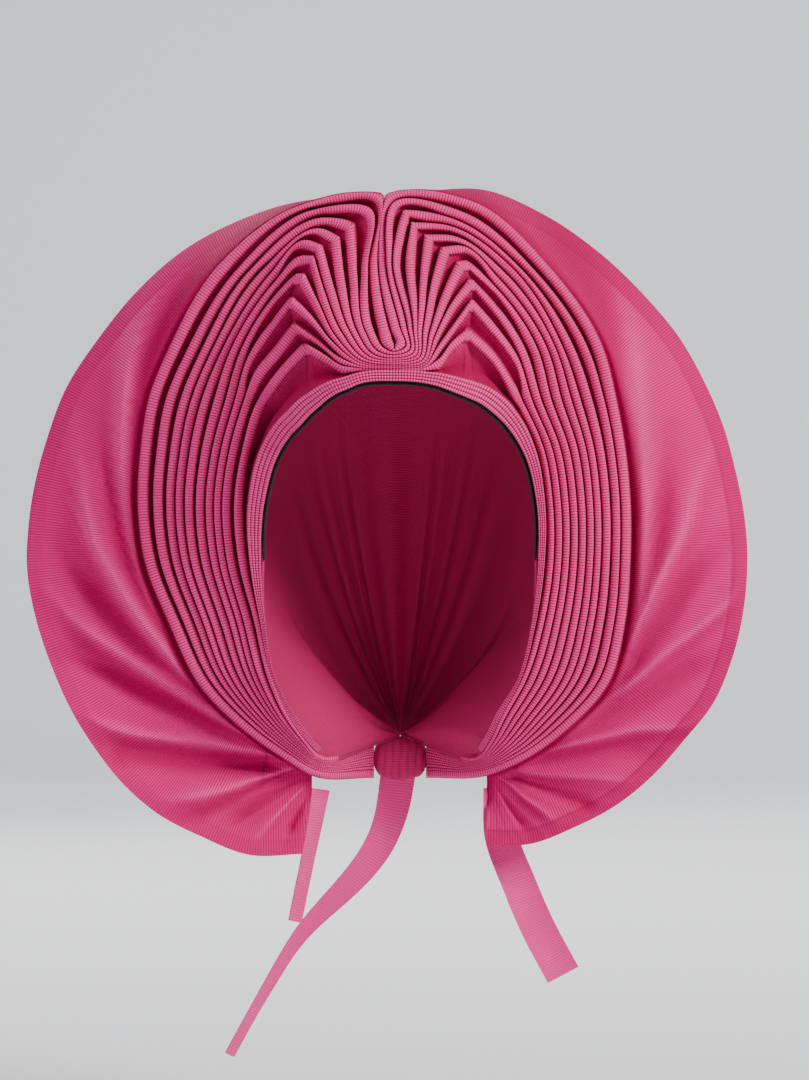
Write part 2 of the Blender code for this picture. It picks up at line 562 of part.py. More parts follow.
def build_band():
    """The forehead band: folded strips laid round the face opening, narrowing to a
    rolled edge that runs down to the gathers."""
    stations = fan_stations()[1:-1]
    rim, widths = rim_line()
    line = smooth(rim, stations)
    wide = np.interp(stations, np.arange(LAST + 1), widths[:, 0])
    depth = np.interp(stations, np.arange(LAST + 1), station_depths()[:, 0]) - GAP
    out = outward(smooth(rim, fan_stations()))[1:-1]
    front, back = [], []
    for across, thick in ((0, 0.7), (0.14, 1.0), (0.42, 1.0), (0.5, 0.5), (0.6, 0.9),
                          (0.9, 0.9), (1, 0.5)):
        spot = line + out * (wide * across)[:, None]
        front.append(seen(spot[:, 0], spot[:, 1], depth - BAND_THICK * thick))
        if across in (0, 1):
            back.append(seen(spot[:, 0], spot[:, 1], depth))
    front, back = np.stack(front, axis=1), np.stack(back, axis=1)
    return closed_sheet("forehead_band", front, back, cloth_material("band_cloth", PINK))


def head_radius(way):
    """Distance from the head's middle to its surface in unit directions."""
    lower = NAPE_DROP - HEAD_DROP
    up = np.where(way[..., 2] >= 0, HEAD_DROP, lower * 1.12)
    sizes = np.stack([
        np.full(up.shape, HEAD_BREADTH / 2), np.full(up.shape, HEAD_HALF * 0.95), up,
    ], axis=-1)
    return 1 / np.linalg.norm(way / sizes, axis=-1)


def head_sheet(stations, shares):
    """Points on the head from the lining's lip back to the nape: a row for each
    station of the rim, a column for each share of the way."""
    rim, _ = rim_line()
    grid = fan_stations()
    rows = np.interp(stations, grid, np.arange(len(grid)))
    line = smooth(rim, grid)
    from_end = np.minimum(grid, LAST - grid)
    low = [3, 4, LINING_END - 1, LINING_END]
    inward = np.interp(from_end, low, [CLOTH, 0.0, 0.0, LINING_LIP])
    lip = smooth(line - outward(line) * inward[:, None], rows)
    depth = np.interp(stations, np.arange(LAST + 1), station_depths()[:, 0]) + GAP
    start = seen(lip[:, 0], lip[:, 1], depth)
    middle = np.array([0.0, 0.0, -HEAD_DROP])
    end = np.array([0.0, NAPE_BACK, -NAPE_DROP])
    a, b = start - middle, end - middle
    a_long, b_long = np.linalg.norm(a, axis=1), np.linalg.norm(b)
    a_way, b_way = a / a_long[:, None], b / b_long
    over = 1.2 * a_way[:, 2] + 1.3 * np.clip(a_way[:, 2] + 0.2, 0, 1)
    via = np.stack([1.4 * a_way[:, 0], np.full(len(a), 0.9), over], axis=-1)
    share = np.broadcast_to(shares, (len(stations), np.shape(shares)[-1]))
    s = share[..., None]
    way = (1 - s) ** 2 * a_way[:, None] + 2 * s * (1 - s) * via[:, None] + s**2 * b_way
    way /= np.linalg.norm(way, axis=-1, keepdims=True)
    extra_a = (a_long / head_radius(a_way))[:, None] - 1
    extra_b = b_long / head_radius(b_way) - 1
    fade_a = np.clip(1 - share / 0.5, 0, 1) ** 2
    fade_b = np.clip((share - 0.6) / 0.4, 0, 1) ** 2
    long = head_radius(way) * (1 + extra_a * fade_a + extra_b * fade_b)
    round_head = middle + way * long[..., None]
    straight = start[:, None] * (1 - s) + end * s
    from_end = np.minimum(stations, LAST - stations)
    full = np.clip((from_end - GATHER) / 4.0, 0, 1)[:, None, None]
    return straight * (1 - full) + round_head * full


def outside(points, wall):
    """The points moved off the head's middle by a wall of cloth."""
    middle = np.array([0.0, 0.0, -HEAD_DROP])
    way = points - middle
    return points + way / np.linalg.norm(way, axis=-1, keepdims=True) * wall


def lining_share(stations):
    """The share of the way to the nape that the lining covers."""
    line = head_sheet(stations, np.linspace(0, 1, 41))
    total = np.linalg.norm(np.diff(line, axis=1), axis=-1).sum(axis=1)
    return LINING_WIDTH / total


def build_lining():
    """The dark lining strip just inside the band, from ear to ear."""
    stations = np.arange(LINING_END, LAST - LINING_END + 1)
    inner = head_sheet(stations, np.array([0.0, 1.0]) * lining_share(stations)[:, None])
    back = outside(inner, CLOTH * 0.8)
    material = cloth_material("lining_cloth", BLACK, 0.85)
    return closed_sheet("edge_lining", inner, back, material)


def build_cap():
    """The plain cap over the back of the head, gathered at the nape. Its front edge
    meets the lining, and runs down to the gathers where the lining ends."""
    stations = np.arange(GATHER, LAST - GATHER + 1)
    below = LINING_END - np.minimum(stations, LAST - stations)
    starts = lining_share(stations) * (1 + 1.5 * GAP / LINING_WIDTH)
    starts = (starts * np.clip(1 - below, 0, 1))[:, None]
    inner = head_sheet(stations, starts + (1 - starts) * np.array(CAP_SHARES))
    material = cloth_material("cap_cloth", DEEP_PINK)
    return closed_sheet("back_cap", inner, outside(inner, CLOTH), material)


def build_knot():
    """The plain knot that binds the gathered ends at the nape."""
    wide, deep, tall = KNOT
    rows = []
    for share in np.linspace(-1, 1, 7):
        swell = 0.72 + 0.28 * np.sqrt(1 - 0.94 * share**2)
        turn = np.linspace(0, 2 * np.pi, 12, endpoint=False)
        rows.append(np.stack([
            np.full(turn.shape, share * wide / 2),
            np.cos(turn) * deep / 2 * swell,
            np.sin(turn) * tall / 2 * swell,
        ], axis=-1))
    rows = np.array(rows)
    bundle = knot_middle()
    points = rows.reshape(-1, 3) + bundle
    count = rows.shape[1]
    faces = [tuple(range(count)), tuple(range(6 * count, 7 * count))]
    for i in range(6):
        for j in range(count):
            k = (j + 1) % count
            faces.append((i * count + j, i * count + k, (i + 1) * count + k, (i + 1) * count + j))
    return solid("nape_knot", points, faces, cloth_material("knot_cloth", DEEP_PINK))


def knot_middle():
    """The middle of the knot: between the two gathered ends at the nape."""
    places, depths = fan_section()
    front = seen(places[..., 0], places[..., 1], depths)
    ends = np.concatenate([front[0], front[-1]])
    centre = (ends.min(axis=0) + ends.max(axis=0)) / 2
    return np.array([0.0, centre[1] + FOLD_WALL / 2, centre[2]])


def build_tie(name, straps, width):
    """A flat tie that hangs from the gathers."""
    places = np.arange(0, len(straps) - 0.9, 0.5)
    given = np.arange(len(straps))
    edge = smooth([view_point(s.edge) for s in straps], places)
    depth = np.interp(places, given, [s.depth for s in straps]) * HEAD_HALF
    turn = np.radians(np.interp(places, given, [s.turn for s in straps]))
    side = outward(edge)
    rows = []
    for share in (0.0, 0.5, 1.0):
        spot = edge + side * (width * share * np.cos(turn))[:, None]
        cup = 0.10 * width * np.sin(share * np.pi)
        rows.append(seen(spot[:, 0], spot[:, 1], depth + width * share * np.sin(turn) + cup))
    front = np.stack(rows, axis=1)
    wall = np.stack([np.sin(turn), np.cos(turn), np.zeros(len(turn))], axis=-1) * TIE_WALL
    back = front + (wall * np.array([-1.0, 1.0, 1.0]))[:, None]
    return closed_sheet(name, front, back, cloth_material(name + "_cloth", PINK))


def build():
    """Builds every piece of the head tie."""
    clear_scene()
    build_fan()
    build_wing("wing_left", -1.0)
    build_wing("wing_right", 1.0)
    build_band()
    build_lining()
    build_cap()
    build_knot()
    build_tie("tie_right", RIGHT_TIE, TIE_WIDTH)
    build_tie("tie_left_short", SHORT_TIE, TIE_WIDTH)
    build_tie("tie_left_long", LONG_TIE, TIE_WIDTH)


build()
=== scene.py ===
"""Looks of the tied head tie: pleats, wings, band, lining, cap, knot and ties in ribbed
cloth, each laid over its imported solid, with a plain floor, soft light and a camera.

Places in the front view are shares of FrontView.side and .rise, up from the gathers, or
picture units, across and down. FrontView moves them to their real place at a depth.
"""

from __future__ import annotations

import logging
import math
from dataclasses import dataclass, field
from enum import Enum
from typing import NamedTuple, Sequence

import bmesh
import bpy
import numpy as np
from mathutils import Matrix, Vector

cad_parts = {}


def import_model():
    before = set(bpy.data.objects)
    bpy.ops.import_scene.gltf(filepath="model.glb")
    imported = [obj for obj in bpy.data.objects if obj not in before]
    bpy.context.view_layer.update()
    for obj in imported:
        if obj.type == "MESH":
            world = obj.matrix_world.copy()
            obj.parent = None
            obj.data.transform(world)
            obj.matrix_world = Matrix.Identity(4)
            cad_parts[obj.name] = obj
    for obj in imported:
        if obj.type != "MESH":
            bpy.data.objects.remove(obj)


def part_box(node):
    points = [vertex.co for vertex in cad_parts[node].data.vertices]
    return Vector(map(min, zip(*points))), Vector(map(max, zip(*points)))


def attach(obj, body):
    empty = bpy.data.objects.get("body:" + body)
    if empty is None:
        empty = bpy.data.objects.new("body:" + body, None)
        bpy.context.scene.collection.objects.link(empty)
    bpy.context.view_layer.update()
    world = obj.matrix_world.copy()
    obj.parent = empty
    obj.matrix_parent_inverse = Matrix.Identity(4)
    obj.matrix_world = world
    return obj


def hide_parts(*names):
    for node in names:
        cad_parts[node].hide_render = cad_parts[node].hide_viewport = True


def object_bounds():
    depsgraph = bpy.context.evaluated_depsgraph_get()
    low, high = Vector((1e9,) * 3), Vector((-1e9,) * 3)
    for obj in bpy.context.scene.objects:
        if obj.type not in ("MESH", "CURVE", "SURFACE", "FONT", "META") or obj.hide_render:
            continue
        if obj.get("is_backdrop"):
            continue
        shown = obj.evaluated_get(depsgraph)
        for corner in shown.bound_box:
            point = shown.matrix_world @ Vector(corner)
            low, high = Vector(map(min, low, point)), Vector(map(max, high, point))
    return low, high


LOG = logging.getLogger("head_tie")
Array = np.ndarray
BODY = "root"
GATHER = 1  # station of the gathers
BEND = 10  # station where the side pleats bend towards the forehead
# The relief map carries painted shade, the hem tone and a painted crest highlight.
RIB_MAP, RELIEF_MAP = "ribs", "relief"


class Slot(Enum):
    """Material slots of the record."""

    PINK = "pink_cloth"
    CREVICE_SHADE = "deep_pink_cloth"
    BLACK = "black_lining"


class Lay(Enum):
    """How a cut piece of cloth is held."""

    GATHERED = "gathered"
    FOLDED = "folded"
    STRETCHED = "stretched"
    HUNG = "hung"


@dataclass(frozen=True)
class Cut:
    """The flat size of a sheet of cloth, in metres, and how it is held."""

    width: float
    length: float
    lay: Lay
    area: float | None = None


@dataclass(frozen=True)
class FrontView:
    """The eye that the front view's places are seen by, in metres."""

    side: float = 0.1175
    rise: float = 0.235
    gather_drop: float = 0.220
    unit: float = 0.00047
    distance: float = 2.0
    plane: float = -0.020
    across: float = 0.0021
    up: float = -0.1128
    picture_high: int = 1080
    crown_across: int = 400
    crown_down: int = 300

    def share(self, place: Sequence[float], hand: float = 1.0) -> Array:
        """A table's share of side and rise as metres in the front view."""
        return np.array([hand * place[0] * self.side, place[1] * self.rise - self.gather_drop])

    def units(self, places: Sequence[Sequence[float]]) -> Array:
        """Places in picture units, across and down, as metres in the front view."""
        crown = (self.crown_across, self.crown_down)
        return (np.array(places, float) - crown) * (self.unit, -self.unit)

    def real(self, spots: Array, depth: Array) -> Array:
        """Real places of front-view spots at the given depths.

        Args:
            spots: (..., 2) metres across and up.
            depth: (...) metres along Y.

        Returns:
            (..., 3) points.
        """
        grow = (self.distance + depth) / (self.distance + self.plane)
        x = self.across + (spots[..., 0] - self.across) * grow
        z = self.up + (spots[..., 1] - self.up) * grow
        return np.stack([x, np.broadcast_to(depth, x.shape), z], axis=-1)


VIEW = FrontView()


def smooth(points: Array, places: Array, crisp: Sequence[int] = ()) -> Array:
    """Reads a curve through points at fractional places.

    Args:
        points: the places it goes through, along axis 0.
        places: where to read it, such as 2.5 for half way from point 2 to 3.
        crisp: the points where it turns sharply.

    Returns:
        One point for each place.
    """
    points = np.asarray(points, float)
    step = np.diff(points, axis=0)
    long = np.maximum(np.linalg.norm(step, axis=-1, keepdims=True), 1e-9)
    unit = step / long
    slope = np.empty_like(points)
    slope[0], slope[-1] = unit[0], unit[-1]
    before, after = long[:-1], long[1:]
    slope[1:-1] = (after * unit[:-1] + before * unit[1:]) / (before + after)
    come = slope.copy()
    for i in crisp:
        come[i], slope[i] = unit[i - 1], unit[i]
    places = np.asarray(places, float)
    first = np.clip(places.astype(int), 0, len(points) - 2)
    t = (places - first).reshape((-1,) + (1,) * (points.ndim - 1))
    a, b, size = points[first], points[first + 1], long[first]
    return (
        (2 * t**3 - 3 * t**2 + 1) * a
        + (t**3 - 2 * t**2 + t) * size * slope[first]
        + (3 * t**2 - 2 * t**3) * b
        + (t**3 - t**2) * size * come[first + 1]
    )


def eased(values: Array, passes: int) -> Array:
    """Values along axis 0 with their small steps evened out."""
    values = np.array(values, float)
    for _ in range(passes):
        values[1:-1] = (values[:-2] + 2 * values[1:-1] + values[2:]) / 4
    return values


def ramp(values: Array, low: float, high: float) -> Array:
    """A soft step from 0 at low to 1 at high."""
    t = np.clip((values - low) / (high - low), 0, 1)
    return t * t * (3 - 2 * t)


def outward(line: Array) -> Array:
    """Unit normals of a front-view line that runs from the left nape over the top."""
    along = np.gradient(line, axis=0)
    along /= np.maximum(np.linalg.norm(along, axis=-1, keepdims=True), 1e-9)
    return np.stack([-along[..., 1], along[..., 0]], axis=-1)


def run_length(line: Array) -> Array:
    """Distance along a line of points from its first one."""
    step = np.linalg.norm(np.diff(line, axis=0), axis=-1)
    return np.concatenate([[0.0], np.cumsum(step)])


class Side(NamedTuple):
    """A station of a side arc: inner and outer ridge, band edge and band width."""

    inner: tuple[float, float] | None
    outer: tuple[float, float] | None
    rim: tuple[float, float]
    band: float


class Pleat(NamedTuple):
    """A ridge's share of the side arc, its path over the top, and its foot's height."""

    spread: float
    bend: tuple[float, float]
    arc: tuple[float, float]
    peak: tuple[float, float]
    corner: tuple[float, float]
    leg: tuple[float, float]
    low: tuple[float, float]
    turn: tuple[float, float]
    foot: float


class Depth(NamedTuple):
    """Depths at a station, as shares of half the head's length."""

    rim: float
    inner: float
    outer: float


class Ray(NamedTuple):
    """A line across a wing: its start as a station, and where it meets the hem."""

    start: float
    hem: tuple[float, float]
    depth: float


class Fold(NamedTuple):
    """A soft fold of a wing, in millimetres, and its path in picture units."""

    lift: float
    width: float
    path: tuple[tuple[int, int], ...]


class Strap(NamedTuple):
    """A place of a tie: its left edge, its depth and how far it is turned."""

    edge: tuple[float, float]
    depth: float
    turn: float


# Side arcs from the nape up to the temples: where the inner and the outer ridge and
# the band's inner edge lie, and the band's width as a share of PleatPlan.band_width.
LEFT_SIDE = (
    Side((0.104, 0.046), (0.104, -0.008), (0.104, 0.068), 0.17),
    Side((0.332, 0.022), (0.348, -0.004), (0.320, 0.036), 0.17),
    Side((0.376, 0.048), (0.440, 0.024), (0.360, 0.056), 0.17),
    Side((0.456, 0.104), (0.600, 0.080), (0.436, 0.108), 0.17),
    Side((0.518, 0.178), (0.784, 0.172), (0.500, 0.180), 0.17),
    Side((0.572, 0.296), (0.904, 0.294), (0.540, 0.296), 0.22),
    Side((0.632, 0.416), (1.000, 0.416), (0.556, 0.416), 0.68),
    Side((0.648, 0.536), (1.028, 0.536), (0.540, 0.536), 0.95),
    Side((0.616, 0.636), (1.016, 0.636), (0.476, 0.636), 1.10),
    Side((0.552, 0.736), (0.984, 0.736), (0.428, 0.670), 1.12),
)
RIGHT_SIDE = (
    Side((0.104, 0.046), (0.104, -0.008), (0.104, 0.068), 0.17),
    Side((0.328, 0.022), (0.344, -0.004), (0.316, 0.036), 0.17),
    Side((0.362, 0.048), (0.480, 0.024), (0.344, 0.056), 0.17),
    Side((0.416, 0.104), (0.660, 0.088), (0.396, 0.108), 0.17),
    Side((0.496, 0.178), (0.816, 0.176), (0.472, 0.180), 0.17),
    Side((0.568, 0.296), (0.880, 0.296), (0.528, 0.296), 0.22),
    Side((0.604, 0.416), (0.900, 0.416), (0.552, 0.416), 0.40),
    Side((0.600, 0.536), (0.900, 0.536), (0.544, 0.536), 0.45),
    Side((0.566, 0.636), (0.880, 0.636), (0.492, 0.632), 0.70),
    Side((0.476, 0.736), (0.844, 0.736), (0.412, 0.691), 1.00),
)

# The band's inner edge over the forehead, from the bend of the pleats to the middle
LEFT_BROW = (
    Side(None, None, (0.400, 0.684), 1.12),
    Side(None, None, (0.360, 0.706), 1.10),
    Side(None, None, (0.324, 0.722), 1.02),
    Side(None, None, (0.292, 0.736), 0.92),
    Side(None, None, (0.256, 0.748), 0.82),
    Side(None, None, (0.212, 0.7575), 0.72),
    Side(None, None, (0.160, 0.7685), 0.64),
    Side(None, None, (0.024, 0.774), 0.58),
)
RIGHT_BROW = (
    Side(None, None, (0.364, 0.713), 1.08),
    Side(None, None, (0.316, 0.730), 1.05),
    Side(None, None, (0.272, 0.740), 1.00),
    Side(None, None, (0.232, 0.748), 0.94),
    Side(None, None, (0.192, 0.756), 0.86),
    Side(None, None, (0.148, 0.764), 0.76),
    Side(None, None, (0.104, 0.769), 0.67),
    Side(None, None, (-0.024, 0.774), 0.58),
)

# Each ridge from the inner one out. spread is its share of the way from the inner to
# the outer ridge on the side arc; the rest is its path over the top and down its leg.
LEFT_PLEATS = (
    Pleat(0.000, (0.512, 0.764), (0.440, 0.808), (0.388, 0.838), (0.348, 0.838),
          (0.288, 0.818), (0.232, 0.8015), (0.168, 0.8000), 0.7992),
    Pleat(0.140, (0.580, 0.776), (0.492, 0.832), (0.432, 0.876), (0.400, 0.878),
          (0.328, 0.850), (0.248, 0.818), (0.168, 0.8040), 0.8014),
    Pleat(0.225, (0.604, 0.814), (0.512, 0.884), (0.456, 0.928), (0.428, 0.930),
          (0.364, 0.898), (0.264, 0.844), (0.160, 0.8085), 0.8038),
    Pleat(0.310, (0.624, 0.836), (0.496, 0.940), (0.432, 0.978), (0.384, 0.978),
          (0.336, 0.928), (0.272, 0.866), (0.156, 0.813), 0.8065),
    Pleat(0.410, (0.668, 0.836), (0.492, 0.970), (0.400, 1.014), (0.348, 1.018),
          (0.308, 0.944), (0.248, 0.874), (0.148, 0.818), 0.810),
    Pleat(0.530, (0.700, 0.836), (0.512, 0.986), (0.396, 1.050), (0.332, 1.042),
          (0.272, 0.952), (0.212, 0.874), (0.132, 0.822), 0.814),
    Pleat(0.630, (0.740, 0.836), (0.528, 1.000), (0.320, 1.072), (0.256, 1.054),
          (0.232, 0.964), (0.184, 0.874), (0.116, 0.827), 0.818),
    Pleat(0.720, (0.780, 0.836), (0.584, 0.998), (0.280, 1.094), (0.204, 1.082),
          (0.184, 0.980), (0.148, 0.872), (0.096, 0.832), 0.824),
    Pleat(0.850, (0.832, 0.836), (0.640, 0.992), (0.312, 1.118), (0.124, 1.108),
          (0.138, 1.000), (0.120, 0.872), (0.076, 0.838), 0.830),
    Pleat(1.000, (0.904, 0.836), (0.712, 0.996), (0.400, 1.118), (0.084, 1.138),
          (0.104, 1.012), (0.064, 0.878), (0.048, 0.850), 0.838),
)
RIGHT_PLEATS = (
    Pleat(0.000, (0.448, 0.760), (0.372, 0.820), (0.288, 0.864), (0.244, 0.866),
          (0.200, 0.842), (0.152, 0.8105), (0.104, 0.8005), 0.7992),
    Pleat(0.110, (0.464, 0.816), (0.376, 0.876), (0.304, 0.922), (0.272, 0.926),
          (0.224, 0.882), (0.152, 0.836), (0.104, 0.8050), 0.8014),
    Pleat(0.210, (0.488, 0.836), (0.396, 0.910), (0.312, 0.964), (0.272, 0.968),
          (0.208, 0.920), (0.144, 0.860), (0.100, 0.8095), 0.8038),
    Pleat(0.320, (0.540, 0.836), (0.372, 0.960), (0.280, 1.006), (0.236, 1.004),
          (0.184, 0.944), (0.128, 0.872), (0.092, 0.8140), 0.8065),
    Pleat(0.430, (0.580, 0.836), (0.388, 0.976), (0.256, 1.040), (0.176, 1.034),
          (0.136, 0.966), (0.100, 0.876), (0.080, 0.8190), 0.810),
    Pleat(0.540, (0.616, 0.836), (0.412, 0.986), (0.220, 1.058), (0.116, 1.060),
          (0.100, 0.996), (0.076, 0.876), (0.070, 0.8240), 0.814),
    Pleat(0.635, (0.644, 0.836), (0.432, 1.004), (0.184, 1.082), (0.052, 1.084),
          (0.040, 1.012), (0.060, 0.876), (0.058, 0.8290), 0.818),
    Pleat(0.755, (0.684, 0.836), (0.468, 1.000), (0.220, 1.092), (0.028, 1.112),
          (-0.020, 1.020), (0.040, 0.880), (0.044, 0.8340), 0.824),
    Pleat(0.895, (0.740, 0.836), (0.520, 0.996), (0.248, 1.104), (-0.024, 1.126),
          (-0.048, 1.020), (0.012, 0.880), (0.028, 0.8400), 0.830),
    Pleat(1.000, (0.792, 0.836), (0.580, 0.996), (0.280, 1.128), (-0.044, 1.140),
          (-0.072, 1.012), (-0.016, 0.880), (0.006, 0.8480), 0.838),
)

# Depth at each station of a ridge, from the nape to the middle of the forehead
DEPTHS = (
    Depth(0.66, 0.64, 0.68),
    Depth(0.33, 0.31, 0.36),
    Depth(0.25, 0.23, 0.30),
    Depth(0.15, 0.12, 0.22),
    Depth(0.05, 0.02, 0.14),
    Depth(-0.09, -0.09, 0.06),
    Depth(-0.20, -0.16, 0.01),
    Depth(-0.36, -0.26, -0.04),
    Depth(-0.52, -0.38, -0.10),
    Depth(-0.60, -0.50, -0.17),
    Depth(-0.65, -0.58, -0.24),
    Depth(-0.70, -0.67, -0.35),
    Depth(-0.74, -0.74, -0.42),
    Depth(-0.77, -0.77, -0.45),
    Depth(-0.80, -0.80, -0.62),
    Depth(-0.82, -0.83, -0.80),
    Depth(-0.83, -0.85, -0.84),
    Depth(-0.84, -0.86, -0.85),
)

# The wings' lines, from the last ridge to the hem
LEFT_WING = (
    Ray(12.8, (0.066, 1.144), 0.25), Ray(12.5, (0.240, 1.142), 0.25),
    Ray(12.0, (0.436, 1.130), 0.26), Ray(11.5, (0.652, 1.094), 0.27),
    Ray(11.0, (0.860, 1.038), 0.27), Ray(10.5, (1.060, 0.950), 0.26),
    Ray(10.0, (1.200, 0.864), 0.25), Ray(9.0, (1.340, 0.756), 0.24),
    Ray(8.0, (1.412, 0.660), 0.23), Ray(7.0, (1.464, 0.562), 0.22),
    Ray(6.0, (1.488, 0.476), 0.22), Ray(5.0, (1.492, 0.396), 0.22),
    Ray(4.0, (1.470, 0.326), 0.23), Ray(3.0, (1.436, 0.262), 0.24),
    Ray(2.0, (1.388, 0.196), 0.25), Ray(1.0, (1.316, 0.116), 0.26),
    Ray(0.8, (1.216, 0.036), 0.27), Ray(0.6, (1.100, -0.036), 0.28),
    Ray(0.45, (0.968, -0.092), 0.30), Ray(0.3, (0.800, -0.136), 0.32),
    Ray(0.15, (0.600, -0.174), 0.35), Ray(0.0, (0.392, -0.172), 0.38),
)
RIGHT_WING = (
    Ray(12.7, (-0.052, 1.146), 0.25), Ray(12.5, (0.140, 1.156), 0.25),
    Ray(12.0, (0.320, 1.158), 0.26), Ray(11.5, (0.580, 1.106), 0.27),
    Ray(11.0, (0.800, 1.030), 0.27), Ray(10.5, (0.980, 0.944), 0.26),
    Ray(10.0, (1.116, 0.862), 0.25), Ray(9.0, (1.224, 0.766), 0.24),
    Ray(8.0, (1.292, 0.686), 0.23), Ray(7.0, (1.340, 0.600), 0.22),
    Ray(6.0, (1.376, 0.510), 0.22), Ray(5.5, (1.390, 0.430), 0.22),
    Ray(5.0, (1.384, 0.356), 0.23), Ray(4.5, (1.364, 0.286), 0.24),
    Ray(4.0, (1.324, 0.212), 0.25), Ray(3.0, (1.256, 0.132), 0.26),
    Ray(2.0, (1.140, 0.058), 0.27), Ray(1.0, (1.000, -0.020), 0.28),
    Ray(0.7, (0.860, -0.076), 0.30), Ray(0.45, (0.700, -0.118), 0.32),
    Ray(0.2, (0.520, -0.152), 0.35), Ray(0.0, (0.344, -0.154), 0.38),
)

# Soft folds of the wings, each from its outer end in to the gathers
LEFT_FOLDS = (
    Fold(-7.0, 6.0, ((240, 226), (203, 270), (168, 320), (150, 361), (140, 399), (137, 450),
                     (140, 500))),
    Fold(6.0, 9.0, ((220, 210), (176, 256), (142, 310), (127, 354), (122, 400), (121, 450),
                    (127, 500), (143, 560), (163, 610), (195, 660), (240, 712), (300, 758))),
    Fold(-6.0, 5.0, ((112, 380), (110, 450), (116, 510), (128, 560), (150, 608), (182, 655),
                     (225, 702), (295, 757))),
    Fold(6.0, 7.0, ((75, 420), (80, 480), (92, 540), (110, 575), (135, 615), (165, 652),
                    (205, 690), (250, 728), (300, 760))),
    Fold(-5.0, 6.0, ((60, 545), (86, 580), (106, 606), (140, 642), (170, 667), (215, 702),
                     (297, 760))),
    Fold(4.0, 5.0, ((45, 590), (81, 627), (106, 646), (150, 676), (200, 707), (245, 733),
                    (300, 762))),
    Fold(-5.0, 6.0, ((60, 655), (106, 670), (142, 689), (196, 713), (250, 738), (300, 763))),
    Fold(4.0, 5.0, ((75, 712), (120, 731), (173, 740), (217, 746), (291, 757))),
    Fold(-4.0, 6.0, ((100, 752), (127, 754), (200, 763), (290, 764))),
    Fold(5.0, 6.0, ((160, 800), (195, 797), (225, 790), (254, 780), (283, 771), (312, 764))),
    Fold(-4.0, 6.0, ((215, 826), (255, 805), (290, 785), (312, 772))),
    Fold(4.0, 5.0, ((245, 850), (276, 816), (291, 800), (305, 786), (316, 774))),
    Fold(-5.0, 5.0, ((285, 840), (300, 810), (314, 785))),
)
RIGHT_FOLDS = (
    Fold(5.0, 10.0, ((612, 268), (626, 310), (635, 355), (638, 400), (641, 450), (641, 500),
                     (636, 560), (629, 620), (610, 675), (575, 722), (500, 760))),
    Fold(-7.0, 14.0, ((496, 200), (545, 232), (580, 270), (600, 312), (610, 355), (618, 410),
                      (624, 470))),
    Fold(-5.0, 6.0, ((668, 430), (662, 490), (655, 540), (645, 590), (632, 640), (605, 690),
                     (505, 760))),
    Fold(6.0, 6.0, ((715, 440), (697, 480), (681, 534), (668, 560), (652, 592), (638, 622),
                    (612, 672), (560, 728), (500, 762))),
    Fold(-5.0, 6.0, ((720, 540), (690, 575), (665, 615), (640, 650), (600, 695), (505, 762))),
    Fold(4.0, 4.0, ((742, 570), (732, 595), (702, 625), (668, 651), (627, 686), (600, 702),
                    (560, 729), (505, 763))),
    Fold(-4.0, 6.0, ((725, 650), (680, 672), (640, 700), (590, 725), (505, 764))),
    Fold(4.0, 4.0, ((715, 700), (688, 723), (629, 731), (605, 737), (550, 750), (500, 763))),
    Fold(-3.0, 5.0, ((670, 755), (620, 750), (560, 760), (510, 766))),
    Fold(3.0, 4.0, ((640, 783), (605, 779), (566, 777), (534, 774), (502, 769))),
    Fold(-4.0, 5.0, ((600, 810), (560, 795), (510, 775))),
    Fold(4.0, 4.0, ((559, 825), (542, 811), (522, 796), (510, 785), (497, 776))),
    Fold(-4.0, 4.0, ((530, 835), (508, 805), (493, 782))),
    Fold(4.0, 4.0, ((487, 833), (487, 807), (489, 790), (486, 777))),
)

# Ties, from the gathers down
RIGHT_TIE = (
    Strap((0.335, -0.040), 0.485, 25), Strap((0.340, -0.140), 0.52, 20),
    Strap((0.412, -0.242), 0.55, 15), Strap((0.484, -0.328), 0.56, 10),
    Strap((0.592, -0.430), 0.56, 10),
)
SHORT_TIE = (
    Strap((-0.350, -0.040), 0.488, 60), Strap((-0.372, -0.120), 0.55, 66),
    Strap((-0.396, -0.186), 0.55, 68), Strap((-0.424, -0.254), 0.55, 68),
    Strap((-0.444, -0.304), 0.55, 68),
)
LONG_TIE = (
    Strap((-0.070, 0.020), 0.770, 0), Strap((-0.110, -0.110), 0.766, 30),
    Strap((-0.440, -0.340), 0.72, 68), Strap((-0.604, -0.484), 0.68, 74),
    Strap((-0.696, -0.568), 0.66, 74),
)


@dataclass(frozen=True)
class ClothFinish:
    """A ribbed cloth finish. Colours are linear; the third colour is painted shade for crevices, pockets
    and valleys.
    """

    name: str
    face: tuple[float, float, float]
    groove: tuple[float, float, float]
    crevice_shade: tuple[float, float, float]
    pitch: float = 0.00131
    rib_show: float = 0.8
    rib_bump: float = 0.00016
    sheen: float = 0.03
    shine: float = 0.10
    hem_show: float = 0.0


@dataclass(frozen=True)
class LiningFinish:
    """A matt woven lining."""

    name: str
    face: tuple[float, float, float]
    thread: float = 0.0006
    relief: float = 0.0001
    roughness: float = 0.85
